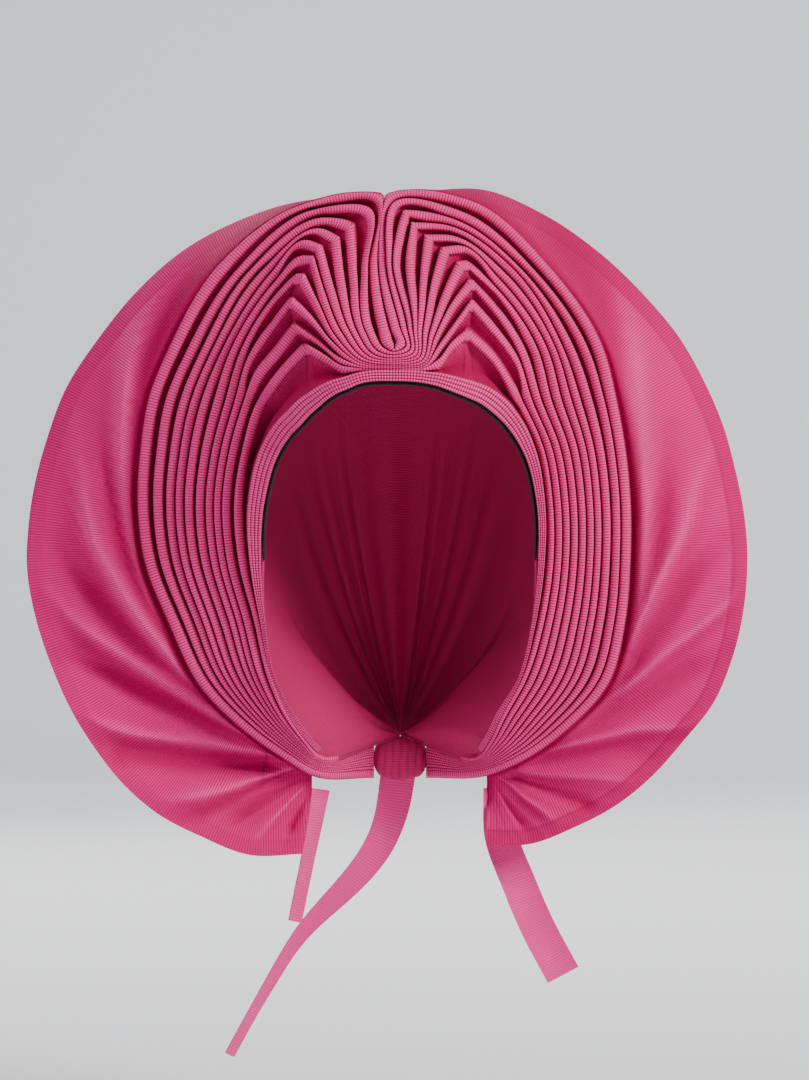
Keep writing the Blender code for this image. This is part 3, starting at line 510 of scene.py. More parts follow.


# Cloth colours: face, rib groove, crevice colour (painted shade in crevices, pockets, valleys and tucks)
# and crest colour (painted highlight on the crests of the pleats and of the wing folds).
FACE = (0.77, 0.020, 0.215)
GROOVE = (0.40, 0.004, 0.075)
CREVICE_SHADE = (0.32, 0.0015, 0.052)
CREST_HIGHLIGHT = (0.93, 0.085, 0.340)
# The pleat cloth's face is lighter than the wing cloth's: a painted highlight on the pleat ridges.
PLEAT_CLOTH = ClothFinish("pleat_cloth", (0.84, 0.060, 0.270), (0.40, 0.004, 0.085), CREVICE_SHADE, pitch=0.00138,
                         rib_show=0.85)
WING_CLOTH = ClothFinish("wing_cloth", FACE, GROOVE, CREVICE_SHADE, rib_show=0.8, sheen=0.0, shine=0.02,
                         hem_show=1.0)
BAND_CLOTH = ClothFinish("band_cloth", (0.86, 0.085, 0.320), GROOVE, CREVICE_SHADE, rib_show=0.95)
# The cap cloth is a darker copy of the pink cloth: painted shade for the cap inside the hollow. The knot
# shares it.
SHADED_CAP_CLOTH = ClothFinish("cap_cloth", (0.50, 0.022, 0.130), (0.30, 0.008, 0.055), CREVICE_SHADE, rib_show=0.6)
TIE_CLOTH = ClothFinish("tie_cloth", (0.88, 0.055, 0.290), GROOVE, CREVICE_SHADE, rib_show=0.3, hem_show=0.6)
LINING_CLOTH = LiningFinish("lining_cloth", (0.012, 0.010, 0.012))


def set_inputs(node: bpy.types.Node, **values: object) -> None:
    """Sets plain values on a node's inputs; _ in a key stands for a space."""
    for key, value in values.items():
        node.inputs[key.replace("_", " ")].default_value = value


class NodeSheet:
    """A small helper that lays shader nodes in a tree and joins them."""

    def __init__(self, tree: bpy.types.NodeTree) -> None:
        """Keeps the tree and counts the nodes laid."""
        self.tree = tree
        self.laid = 0

    def add(self, kind: str, **sets: object) -> bpy.types.Node:
        """Adds a node and sets its plain properties."""
        node = self.tree.nodes.new(kind)
        node.location = (180 * (self.laid % 9), -220 * (self.laid // 9))
        self.laid += 1
        for key, value in sets.items():
            setattr(node, key, value)
        return node

    def join(self, source: bpy.types.NodeSocket, target: bpy.types.NodeSocket) -> None:
        """Joins an output to an input."""
        self.tree.links.new(source, target)

    def feed(self, socket: bpy.types.NodeSocket, value: object) -> None:
        """Joins a socket, or sets a plain value, on an input."""
        if isinstance(value, bpy.types.NodeSocket):
            self.join(value, socket)
        else:
            socket.default_value = value

    def math(self, operation: str, *values: object, clamp: bool = False) -> bpy.types.NodeSocket:
        """A math node fed with sockets or numbers."""
        node = self.add("ShaderNodeMath", operation=operation, use_clamp=clamp)
        for socket, value in zip(node.inputs, values):
            self.feed(socket, value)
        return node.outputs[0]

    def noise(self, place: bpy.types.NodeSocket, scale: float, detail: float,
              **sets: object) -> bpy.types.NodeSocket:
        """A noise read at a place."""
        node = self.add("ShaderNodeTexNoise", **sets)
        set_inputs(node, Scale=scale, Detail=detail)
        self.join(place, node.inputs["Vector"])
        return node.outputs[0]

    def bump(self, shader: bpy.types.Node, height: bpy.types.NodeSocket, strength: float,
             distance: float) -> None:
        """Gives a shader the relief of a height."""
        node = self.add("ShaderNodeBump")
        set_inputs(node, Strength=strength, Distance=distance)
        self.join(height, node.inputs["Height"])
        self.join(node.outputs[0], shader.inputs["Normal"])

    def span(self, value: object, low: float, high: float, to_low: float = 0.0,
             to_high: float = 1.0) -> bpy.types.NodeSocket:
        """A smooth map of a value from one range to another."""
        node = self.add("ShaderNodeMapRange", interpolation_type="SMOOTHSTEP")
        for socket, item in zip(node.inputs, (value, low, high, to_low, to_high)):
            self.feed(socket, item)
        return node.outputs[0]

    def blend(self, amount: object, first: object, second: object,
              way: str = "MIX") -> bpy.types.NodeSocket:
        """A mix of two colours."""
        node = self.add("ShaderNodeMix", data_type="RGBA", blend_type=way)
        self.feed(node.inputs["Factor"], amount)
        for name, value in (("A", first), ("B", second)):
            socket = next(s for s in node.inputs if s.name == name and s.type == "RGBA")
            self.feed(socket, value)
        return next(s for s in node.outputs if s.type == "RGBA")


def new_group(name: str, inputs: Sequence[tuple[str, str, object]],
              outputs: Sequence[tuple[str, str]]) -> tuple[NodeSheet, dict, dict]:
    """Starts a shader node group.

    Args:
        name: the group's name.
        inputs: name, socket type and default of each input.
        outputs: name and socket type of each output.

    Returns:
        The sheet, the inputs by name inside the group, and its outputs by name.
    """
    tree = bpy.data.node_groups.new(name, "ShaderNodeTree")
    for label, kind, value in inputs:
        socket = tree.interface.new_socket(label, in_out="INPUT", socket_type=kind)
        if value is not None:
            socket.default_value = value
    for label, kind in outputs:
        tree.interface.new_socket(label, in_out="OUTPUT", socket_type=kind)
    sheet = NodeSheet(tree)
    inside = {s.name: s for s in sheet.add("NodeGroupInput").outputs}
    outside = {s.name: s for s in sheet.add("NodeGroupOutput").inputs}
    return sheet, inside, outside


NUMBER, COLOUR, VECTOR = "NodeSocketFloat", "NodeSocketColor", "NodeSocketVector"


class ShaderEffects:
    """Node groups that several materials share, built once."""

    def __init__(self) -> None:
        """Builds every group."""
        self.ribs = self.build_ribs()
        self.tone = self.build_tone()
        self.thread = self.build_thread()

    def build_ribs(self) -> bpy.types.NodeTree:
        """Ribs of the weave: their height, the grooves between them and the yarn."""
        sheet, get, put = new_group(
            "ribbed_weave",
            (("Place", VECTOR, None), ("Pitch", NUMBER, 0.0013), ("Show", NUMBER, 0.8)),
            (("Height", NUMBER), ("Groove", NUMBER), ("Yarn", NUMBER)),
        )
        split = sheet.add("ShaderNodeSeparateXYZ")
        sheet.join(get["Place"], split.inputs[0])
        wander = sheet.noise(get["Place"], 60.0, 1.0, noise_dimensions="2D")
        shift = sheet.math("MULTIPLY", sheet.math("SUBTRACT", wander, 0.5), 0.0005)
        along = sheet.math("DIVIDE", sheet.math("ADD", split.outputs[0], shift), get["Pitch"])
        wave = sheet.math("COSINE", sheet.math("MULTIPLY", along, 2 * math.pi))
        height = sheet.math("MULTIPLY_ADD", wave, 0.5, 0.5)
        groove = sheet.span(height, 0.55, 0.05)
        yarn = sheet.noise(get["Place"], 2600.0, 1.0, noise_dimensions="2D")
        sheet.join(height, put["Height"])
        sheet.join(sheet.math("MULTIPLY", groove, get["Show"]), put["Groove"])
        sheet.join(yarn, put["Yarn"])
        return sheet.tree

    def build_tone(self) -> bpy.types.NodeTree:
        """Cloth tone: rib grooves and the hem darken, crevices take painted shade, crests take a painted
        highlight, and the colour drifts a little.
        """
        sheet, get, put = new_group(
            "tone_and_painted_light",
            (("Face", COLOUR, None), ("Groove colour", COLOUR, None), ("Deep", COLOUR, None),
             ("Groove", NUMBER, 0.0), ("Yarn", NUMBER, 0.5), ("Crevice", NUMBER, 0.0),
             ("Hem", NUMBER, 0.0), ("Crest", NUMBER, 0.0), ("Pale", COLOUR, None),
             ("Point", VECTOR, None)),
            (("Colour", COLOUR), ("Roughness", NUMBER)),
        )
        cloudy = sheet.span(sheet.noise(get["Point"], 14.0, 2.0), 0.35, 0.7, 0.0, 0.16)
        face = sheet.blend(cloudy, get["Face"], get["Groove colour"])
        # Painted highlight on crests.
        face = sheet.blend(get["Crest"], face, get["Pale"])
        fleck = sheet.span(get["Yarn"], 0.3, 0.75, 0.0, 0.22)
        face = sheet.blend(fleck, face, get["Groove colour"])
        ribbed = sheet.blend(get["Groove"], face, get["Groove colour"])
        hemmed = sheet.blend(sheet.math("MULTIPLY", get["Hem"], 0.62), ribbed, get["Groove colour"])
        # Painted shade: the crevice colour in crevices, pockets and valleys.
        sheet.join(sheet.blend(get["Crevice"], hemmed, get["Deep"]), put["Colour"])
        rough = sheet.math("MULTIPLY_ADD", get["Groove"], 0.15, 0.56)
        sheet.join(sheet.math("MULTIPLY_ADD", get["Yarn"], 0.10, rough), put["Roughness"])
        return sheet.tree

    def build_thread(self) -> bpy.types.NodeTree:
        """A plain crossed weave of threads."""
        sheet, get, put = new_group(
            "crossed_thread",
            (("Place", VECTOR, None), ("Pitch", NUMBER, 0.0006)),
            (("Height", NUMBER), ("Shade", NUMBER)),
        )
        split = sheet.add("ShaderNodeSeparateXYZ")
        sheet.join(get["Place"], split.inputs[0])
        waves = []
        for socket in split.outputs[:2]:
            turn = sheet.math("MULTIPLY", sheet.math("DIVIDE", socket, get["Pitch"]), math.pi)
            waves.append(sheet.math("SINE", turn))
        height = sheet.math("MULTIPLY_ADD", sheet.math("MULTIPLY", *waves), 0.5, 0.5)
        sheet.join(height, put["Height"])
        sheet.join(sheet.span(height, 0.2, 0.9, 0.5, 1.0), put["Shade"])
        return sheet.tree


class Dyer:
    """Makes the materials from the finishes."""

    def __init__(self) -> None:
        """Builds the shared effects."""
        self.effects = ShaderEffects()
        self.made: dict[str, bpy.types.Material] = {}

    def start(self, name: str) -> tuple[bpy.types.Material, NodeSheet, bpy.types.Node]:
        """An empty material with its Principled shader."""
        material = bpy.data.materials.new(name)
        material.use_nodes = True
        sheet = NodeSheet(material.node_tree)
        shader = material.node_tree.nodes["Principled BSDF"]
        self.made[name] = material
        return material, sheet, shader

    def group(self, sheet: NodeSheet, tree: bpy.types.NodeTree, **values: object) -> bpy.types.Node:
        """Places a shared effect and feeds its inputs; _ in a key stands for a space."""
        node = sheet.add("ShaderNodeGroup", node_tree=tree)
        for key, value in values.items():
            sheet.feed(node.inputs[key.replace("_", " ")], value)
        return node

    def cloth(self, finish: ClothFinish) -> bpy.types.Material:
        """A ribbed cloth material, with painted shade and a painted highlight read from the relief map.

        Args:
            finish: the colours and sizes.

        Returns:
            The material, made once for each finish.
        """
        if finish.name in self.made:
            return self.made[finish.name]
        material, sheet, shader = self.start(finish.name)
        place = sheet.add("ShaderNodeUVMap", uv_map=RIB_MAP).outputs[0]
        relief = sheet.add("ShaderNodeSeparateXYZ")
        sheet.join(sheet.add("ShaderNodeUVMap", uv_map=RELIEF_MAP).outputs[0], relief.inputs[0])
        # First relief value: painted shade. Second: hem tone above zero, painted crest highlight below
        # zero.
        raised = sheet.math("MAXIMUM", relief.outputs[1], 0.0)
        hem = sheet.math("MULTIPLY", raised, finish.hem_show)
        crest = sheet.math("SUBTRACT", raised, relief.outputs[1])
        ribs = self.group(sheet, self.effects.ribs, Place=place, Pitch=finish.pitch,
                          Show=finish.rib_show)
        point = sheet.add("ShaderNodeTexCoord").outputs["Object"]
        tone = self.group(
            sheet, self.effects.tone, Face=finish.face + (1.0,),
            Groove_colour=finish.groove + (1.0,), Deep=finish.crevice_shade + (1.0,),
            Groove=ribs.outputs["Groove"], Yarn=ribs.outputs["Yarn"],
            Crevice=relief.outputs[0], Hem=hem, Crest=crest, Pale=CREST_HIGHLIGHT + (1.0,), Point=point,
        )
        sheet.join(tone.outputs["Colour"], shader.inputs["Base Color"])
        sheet.join(tone.outputs["Roughness"], shader.inputs["Roughness"])
        grain = sheet.math("MULTIPLY_ADD", ribs.outputs["Yarn"], 0.35, ribs.outputs["Height"])
        sheet.bump(shader, grain, 0.75, finish.rib_bump)
        set_inputs(shader, Sheen_Weight=finish.sheen, Sheen_Roughness=0.45,
                   Sheen_Tint=(1.0, 0.62, 0.80, 1.0), Specular_IOR_Level=finish.shine,
                   Specular_Tint=(1.0, 0.40, 0.62, 1.0))
        return material

    def lining(self, finish: LiningFinish) -> bpy.types.Material:
        """A matt woven material for the lining."""
        material, sheet, shader = self.start(finish.name)
        place = sheet.add("ShaderNodeUVMap", uv_map=RIB_MAP).outputs[0]
        weave = self.group(sheet, self.effects.thread, Place=place, Pitch=finish.thread)
        dark = tuple(c * 0.4 for c in finish.face) + (1.0,)
        colour = sheet.blend(weave.outputs["Shade"], dark, finish.face + (1.0,))
        sheet.join(colour, shader.inputs["Base Color"])
        sheet.bump(shader, weave.outputs["Height"], 0.5, finish.relief)
        set_inputs(shader, Roughness=finish.roughness)
        return material


@dataclass
class Layer:
    """One face of a sheet of cloth: a grid of points with its rib places and its relief values (painted
    shade, hem tone and painted crest highlight).
    """

    points: Array
    ribs: Array
    relief: Array

    def flat(self) -> tuple[Array, Array, Array]:
        """The grid's points, rib places and relief as plain lists."""
        return self.points.reshape(-1, 3), self.ribs.reshape(-1, 2), self.relief.reshape(-1, 2)


def sheet_faces(rows: int, wide: int, narrow: int) -> list[tuple[int, ...]]:
    """Faces of a closed sheet between a front grid and a back grid.

    Args:
        rows: rows of both grids.
        wide: columns of the front grid.
        narrow: columns of the back grid.

    Returns:
        Corner numbers of each face; the back grid's points follow the front's.
    """
    shift = rows * wide
    faces = []
    for i in range(rows - 1):
        a = i * wide + np.arange(wide - 1)
        faces += list(zip(a, a + 1, a + 1 + wide, a + wide))
        b = shift + i * narrow + np.arange(narrow - 1)
        faces += list(zip(b, b + narrow, b + 1 + narrow, b + 1))
        for j, k in ((0, 0), (wide - 1, narrow - 1)):
            a0, b0 = i * wide + j, shift + i * narrow + k
            faces.append((a0, a0 + wide, b0 + narrow, b0))
    for i in (0, rows - 1):
        over = [i * wide + j for j in range(wide)]
        under = [shift + i * narrow + j for j in range(narrow)]
        for j in range(wide - 1):
            k = j * (narrow - 1) // (wide - 1)
            m = (j + 1) * (narrow - 1) // (wide - 1)
            ring = (over[j], over[j + 1], under[m]) + (() if k == m else (under[k],))
            faces.append(ring)
    return faces


def cloth_object(name: str, front: Layer, back: Layer, material: bpy.types.Material,
                 sharp: float = 50.0) -> bpy.types.Object:
    """A closed, smooth-shaded sheet of cloth.

    Args:
        name: the piece's name.
        front: its outer face.
        back: its inner face, with the same rows.
        material: its finish.
        sharp: edges bent more than this, in degrees, stay crisp.

    Returns:
        The object, linked to the scene.
    """
    points, ribs, relief = (np.concatenate(pair) for pair in zip(front.flat(), back.flat()))
    rows, wide = front.points.shape[:2]
    faces = sheet_faces(rows, wide, back.points.shape[1])
    return mesh_object(name, points, faces, ribs, relief, material, sharp)


def mesh_object(name: str, points: Array, faces: list, ribs: Array, relief: Array,
                material: bpy.types.Material, sharp: float) -> bpy.types.Object:
    """A mesh with its rib and relief maps and outward faces."""
    mesh = bpy.data.meshes.new(name)
    mesh.from_pydata(points.tolist(), [], [tuple(int(k) for k in f) for f in faces])
    work = bmesh.new()
    work.from_mesh(mesh)
    bmesh.ops.recalc_face_normals(work, faces=work.faces[:])
    work.to_mesh(mesh)
    work.free()
    corner = np.empty(len(mesh.loops), dtype=np.int32)
    mesh.loops.foreach_get("vertex_index", corner)
    for label, values in ((RIB_MAP, ribs), (RELIEF_MAP, relief)):
        layer = mesh.uv_layers.new(name=label)
        layer.data.foreach_set("uv", values[corner].astype(np.float32).ravel())
    mesh.polygons.foreach_set("use_smooth", np.ones(len(mesh.polygons), dtype=bool))
    mesh.set_sharp_from_angle(angle=math.radians(sharp))
    mesh.materials.append(material)
    thing = bpy.data.objects.new(name, mesh)
    bpy.context.scene.collection.objects.link(thing)
    return thing


def settle(thing: bpy.types.Object, node: str) -> None:
    """Rides a piece on the body in place of its solid, and logs its faces."""
    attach(thing, BODY)
    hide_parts(node)
    LOG.info("%s: %d faces", thing.name, len(thing.data.polygons))


@dataclass
class PleatPlan:
    """Where the ridges, the band's edge and the outer edge run, station by station."""

    band_width: float = 0.0085
    gap: float = 0.0003
    head_half: float = 0.100
    edge_reach: float = 0.0028
    under: float = 0.0007
    crisp_tips: int = 4
    crisp_count: int = 8
    pinches: tuple[float, ...] = (0.4, 0.4, 0.4, 0.6, 0.9, 1.0, 1.0, 1.0, 1.0, 1.0)
    last: int = field(init=False)

    def __post_init__(self) -> None:
        """Reads the tables once."""
        self.last = 2 * (len(LEFT_SIDE) + len(LEFT_BROW) - 1)
        self.ridge_table = self.join_halves(
            self.half_ridges(LEFT_SIDE, LEFT_PLEATS, -1.0),
            self.half_ridges(RIGHT_SIDE, RIGHT_PLEATS, 1.0),
        )
        halves = []
        for rows, hand in ((LEFT_SIDE + LEFT_BROW, -1.0), (RIGHT_SIDE + RIGHT_BROW, 1.0)):
            points = np.array([VIEW.share(row.rim, hand) for row in rows])
            widths = np.array([[row.band * self.band_width] for row in rows])
            halves.append(np.concatenate([points, widths], axis=1))
        both = self.join_halves(*halves)
        self.rim_table, self.width_table = both[:, :2], both[:, 2]
        half = np.array(DEPTHS) * self.head_half
        self.depth_table = self.join_halves(half, half)

    def join_halves(self, left: Array, right: Array) -> Array:
        """The left half from nape to middle, then the right half back to the nape."""
        return np.concatenate([left, right[-2::-1]])

    def half_ridges(self, sides: Sequence[Side], pleats: Sequence[Pleat], hand: float) -> Array:
        """Front-view points of one half's ridges: a row per station."""
        rows = []
        for side in sides:
            inner, outer = VIEW.share(side.inner, hand), VIEW.share(side.outer, hand)
            rows.append([inner + (outer - inner) * p.spread for p in pleats])
        for column in ("bend", "arc", "peak", "corner", "leg", "low", "turn"):
            rows.append([VIEW.share(getattr(p, column), hand) for p in pleats])
        middle = LEFT_BROW[-1].rim[0]
        rows.append([VIEW.share((-middle, p.foot)) for p in pleats])
        return np.array(rows)

    def read(self, table: Array, stations: Array) -> Array:
        """A table of plain numbers read between its stations, with its corners eased."""
        fine = np.linspace(0, self.last, 8 * self.last + 1)
        values = eased(np.interp(fine, np.arange(self.last + 1), table), 24)
        return np.interp(stations, fine, values)

    def stations(self, low: int, high: int) -> Array:
        """Even stations: low per step on the sides and high over the top."""
        side = np.linspace(0, BEND, BEND * low, endpoint=False)
        top = np.linspace(BEND, self.last - BEND, (self.last - 2 * BEND) * high + 1)
        return np.concatenate([side, top, self.last - side[::-1]])

    def ridges(self, stations: Array) -> Array:
        """Front-view points of every ridge at the stations."""
        turns = (BEND + 2, BEND + 3, self.last - BEND - 3, self.last - BEND - 2)
        lines = []
        for k in range(self.ridge_table.shape[1]):
            table = self.ridge_table[:, k].copy()
            for a, b in (turns[:2], turns[2:]):
                middle, half = (table[a] + table[b]) / 2, (table[b] - table[a]) / 2
                pinch = self.pinches[k]
                table[a], table[b] = middle - half * pinch, middle + half * pinch
            crisp = turns if k < self.crisp_tips else turns[1:3] if k < self.crisp_count else ()
            lines.append(smooth(table, stations, crisp))
        return np.stack(lines, axis=1)

    def rim(self, stations: Array) -> Array:
        """Front-view points of the band's inner edge."""
        return smooth(self.rim_table, stations)

    def widths(self, stations: Array) -> Array:
        """The band's widths."""
        return self.read(self.width_table, stations)

    def depths(self, stations: Array) -> tuple[Array, Array, Array]:
        """Depths of the rim, the inner ridge and the outer ridge."""
        rim, inner, outer = (self.read(self.depth_table[:, i], stations) for i in range(3))
        return rim, inner, outer

    def inner_edge(self, stations: Array) -> Array:
        """Front-view line where the pleated cloth ends, just under the band."""
        rim = self.rim(stations)
        return rim + outward(rim) * (self.widths(stations) - self.under)[:, None]

    def inward(self, stations: Array, thin: float, wide: float) -> Array:
        """How far a cloth's lip lies inside the rim: thin at the gathers, then wide."""
        from_end = np.minimum(stations, self.last - stations)
        return np.interp(from_end, [3, 4, 5, 6], [thin, 0.0, 0.0, wide])

    def outer_edge(self, stations: Array, meet: float) -> Array:
        """Front-view line of the pleated cloth's outer edge.

        Args:
            stations: symmetric stations.
            meet: how near the two middle legs come, 0.5 where they touch.

        Returns:
            One front-view point per station.
        """
        last = self.ridges(stations)[:, -1]
        away = np.abs(stations - self.last / 2)
        top = np.maximum(np.interp(away, [2.5, 3.2, 4.2, 6.0], [0, 0, 0.35, 1]), 0.25)
        free = last + outward(last) * (self.edge_reach * top)[:, None]
        slit = last + (last[::-1] - last) * meet
        share = ramp(away, 4.0, 4.55)[:, None]
        return slit * (1 - share) + free * share


@dataclass
class PleatedFan:
    """The ten pleats, from the nape up both sides and down to the forehead's middle."""

    plan: PleatPlan
    name: str = "pleated_cloth"
    fold_half: float = 0.0028
    steep: float = 0.85
    deepest: float = 0.008
    lean: float = 0.17
    roundness: float = 2.5
    wall: float = 0.0024
    meet: float = 0.4995
    least_fall: float = 0.0008
    wander: float = 0.0005
    per_side: int = 8
    per_top: int = 14
    arc_columns: int = 6
    floor_columns: int = 2

    def half_fold(self) -> tuple[Array, Array, Array]:
        """Across half a fold, crest first: places on the fold, drops, floor shares."""
        turn = np.linspace(0, math.pi / 2, self.arc_columns + 1)
        across = np.sin(turn) ** (2 / self.roundness)
        drop = 1 - np.cos(turn) ** (2 / self.roundness)
        floor = np.linspace(0, 1, self.floor_columns + 1)[1:]
        ones = np.ones(self.floor_columns)
        return (np.concatenate([across, ones]), np.concatenate([drop, ones]),
                np.concatenate([np.zeros(len(turn)), floor]))

    def build(self, dyer: Dyer) -> bpy.types.Object:
        """Builds the pleated cloth and lays it over its solid."""
        plan = self.plan
        stations = plan.stations(self.per_side, self.per_top)
        ridges = plan.ridges(stations)
        rim_depth, inner_depth, outer_depth = plan.depths(stations)
        count = ridges.shape[1]
        share = np.linspace(0, 1, count)
        level = inner_depth[:, None] * (1 - share) + outer_depth[:, None] * share
        wander = np.sin(stations[:, None] * 0.9 + 2.1 * np.arange(count)) * self.wander
        level = level + wander * ramp(np.minimum(stations, plan.last - stations), 3, 6)[:, None]
        edge = plan.outer_edge(stations, self.meet)
        lines = np.concatenate([plan.inner_edge(stations)[:, None], ridges, edge[:, None]], axis=1)
        levels = np.concatenate([rim_depth[:, None], level, level[:, -1:]], axis=1)
        run = np.stack([run_length(VIEW.real(ridges[:, k], level[:, k])) for k in range(count)], 1)
        run = run - run[len(stations) // 2]
        tangent = np.gradient(lines, axis=0)
        tangent /= np.maximum(np.linalg.norm(tangent, axis=-1, keepdims=True), 1e-9)
        tangent = eased(tangent, 2)
        across, drop, floor = self.half_fold()
        # The inner edge by the band starts deep in the crevice colour: painted shade in the pocket under
        # the first ridge.
        spots, depths, ribs, relief = [lines[:, 0]], [rim_depth], [run[:, 0]], [0 * rim_depth + 0.9]
        for k in range(1, count + 1):
            crest, here = lines[:, k], levels[:, k]
            for other, way in ((k - 1, -1), (k + 1, 1)):
                side, width = self.crevice(lines, k, other, count)
                fall = np.minimum(self.deepest, self.steep * 2 * width)
                mean = (here + levels[:, other]) / 2 if 0 < other <= count else here
                total = np.maximum(mean + fall - here, self.least_fall)
                fold = np.minimum(0.84, self.fold_half / np.maximum(width, 1e-6))
                cells = []
                for x, y, z in zip(across, drop, floor):
                    place = fold * x + (1 - fold) * z
                    depth = here + total * (0.62 * y + 0.38 * z ** 0.7)
                    cells.append((crest + (side - crest) * place[:, None], depth, 0.75 * y + 0.25 * z))
                cells = cells[::-1] if way < 0 else cells[1:]
                if way > 0 and k < count:
                    cells = cells[:-1]
                for spot, depth, dark in cells:
                    spots.append(spot)
                    depths.append(depth)
                    ribs.append(run[:, k - 1] + ((spot - crest) * tangent[:, k]).sum(axis=-1))
                    # Painted shade: the crevice colour comes in as the cloth drops into a crevice.
                    shaded = ramp(np.array(dark), 0.40 if way < 0 else 0.6, 1.0)
                    relief.append(np.full(len(stations), shaded))
        spots, depths = np.stack(spots, axis=1), np.stack(depths, axis=1)
        ribs, relief = np.stack(ribs, axis=1), np.stack(relief, axis=1)
        front_points = VIEW.real(spots, depths)
        lateral = np.concatenate([[0.0], np.cumsum(np.linalg.norm(
            np.diff(front_points[len(stations) // 4], axis=0), axis=-1))])
        rib_uv = np.stack([ribs, np.broadcast_to(lateral, ribs.shape)], axis=-1)
        front = Layer(front_points, rib_uv, np.stack([relief, 0 * relief], axis=-1))
        final = spots.shape[1] - 1
        picks = np.unique(np.concatenate([[0, final], np.arange(1, final, 2)]))
        behind = depths[:, picks] + self.wall
        # The back face takes a share of the crevice colour: painted shade on the cloth's inner side.
        back = Layer(VIEW.real(spots[:, picks], behind), rib_uv[:, picks],
                     np.zeros(behind.shape + (2,)) + (0.35, 0.0))
        thing = cloth_object(self.name, front, back, dyer.cloth(PLEAT_CLOTH))
        settle(thing, "pleated_fan")
        return thing

    def crevice(self, lines: Array, k: int, other: int, count: int) -> tuple[Array, Array]:
        """The crevice beside a ridge. Folds lean outward: it is nearer the inner ridge.

        Args:
            lines: front-view lines of the inner edge, the ridges and the outer edge.
            k: the ridge.
            other: the line on the crevice's far side.
            count: how many ridges there are.

        Returns:
            The crevice's front-view line, and its distance from the ridge.
        """
        if other > count:
            side = lines[:, other]
        else:
            share = 0.5 - self.lean if other > k else 0.5 + self.lean
            side = lines[:, k] + (lines[:, other] - lines[:, k]) * share
        return side, np.linalg.norm(side - lines[:, k], axis=1)


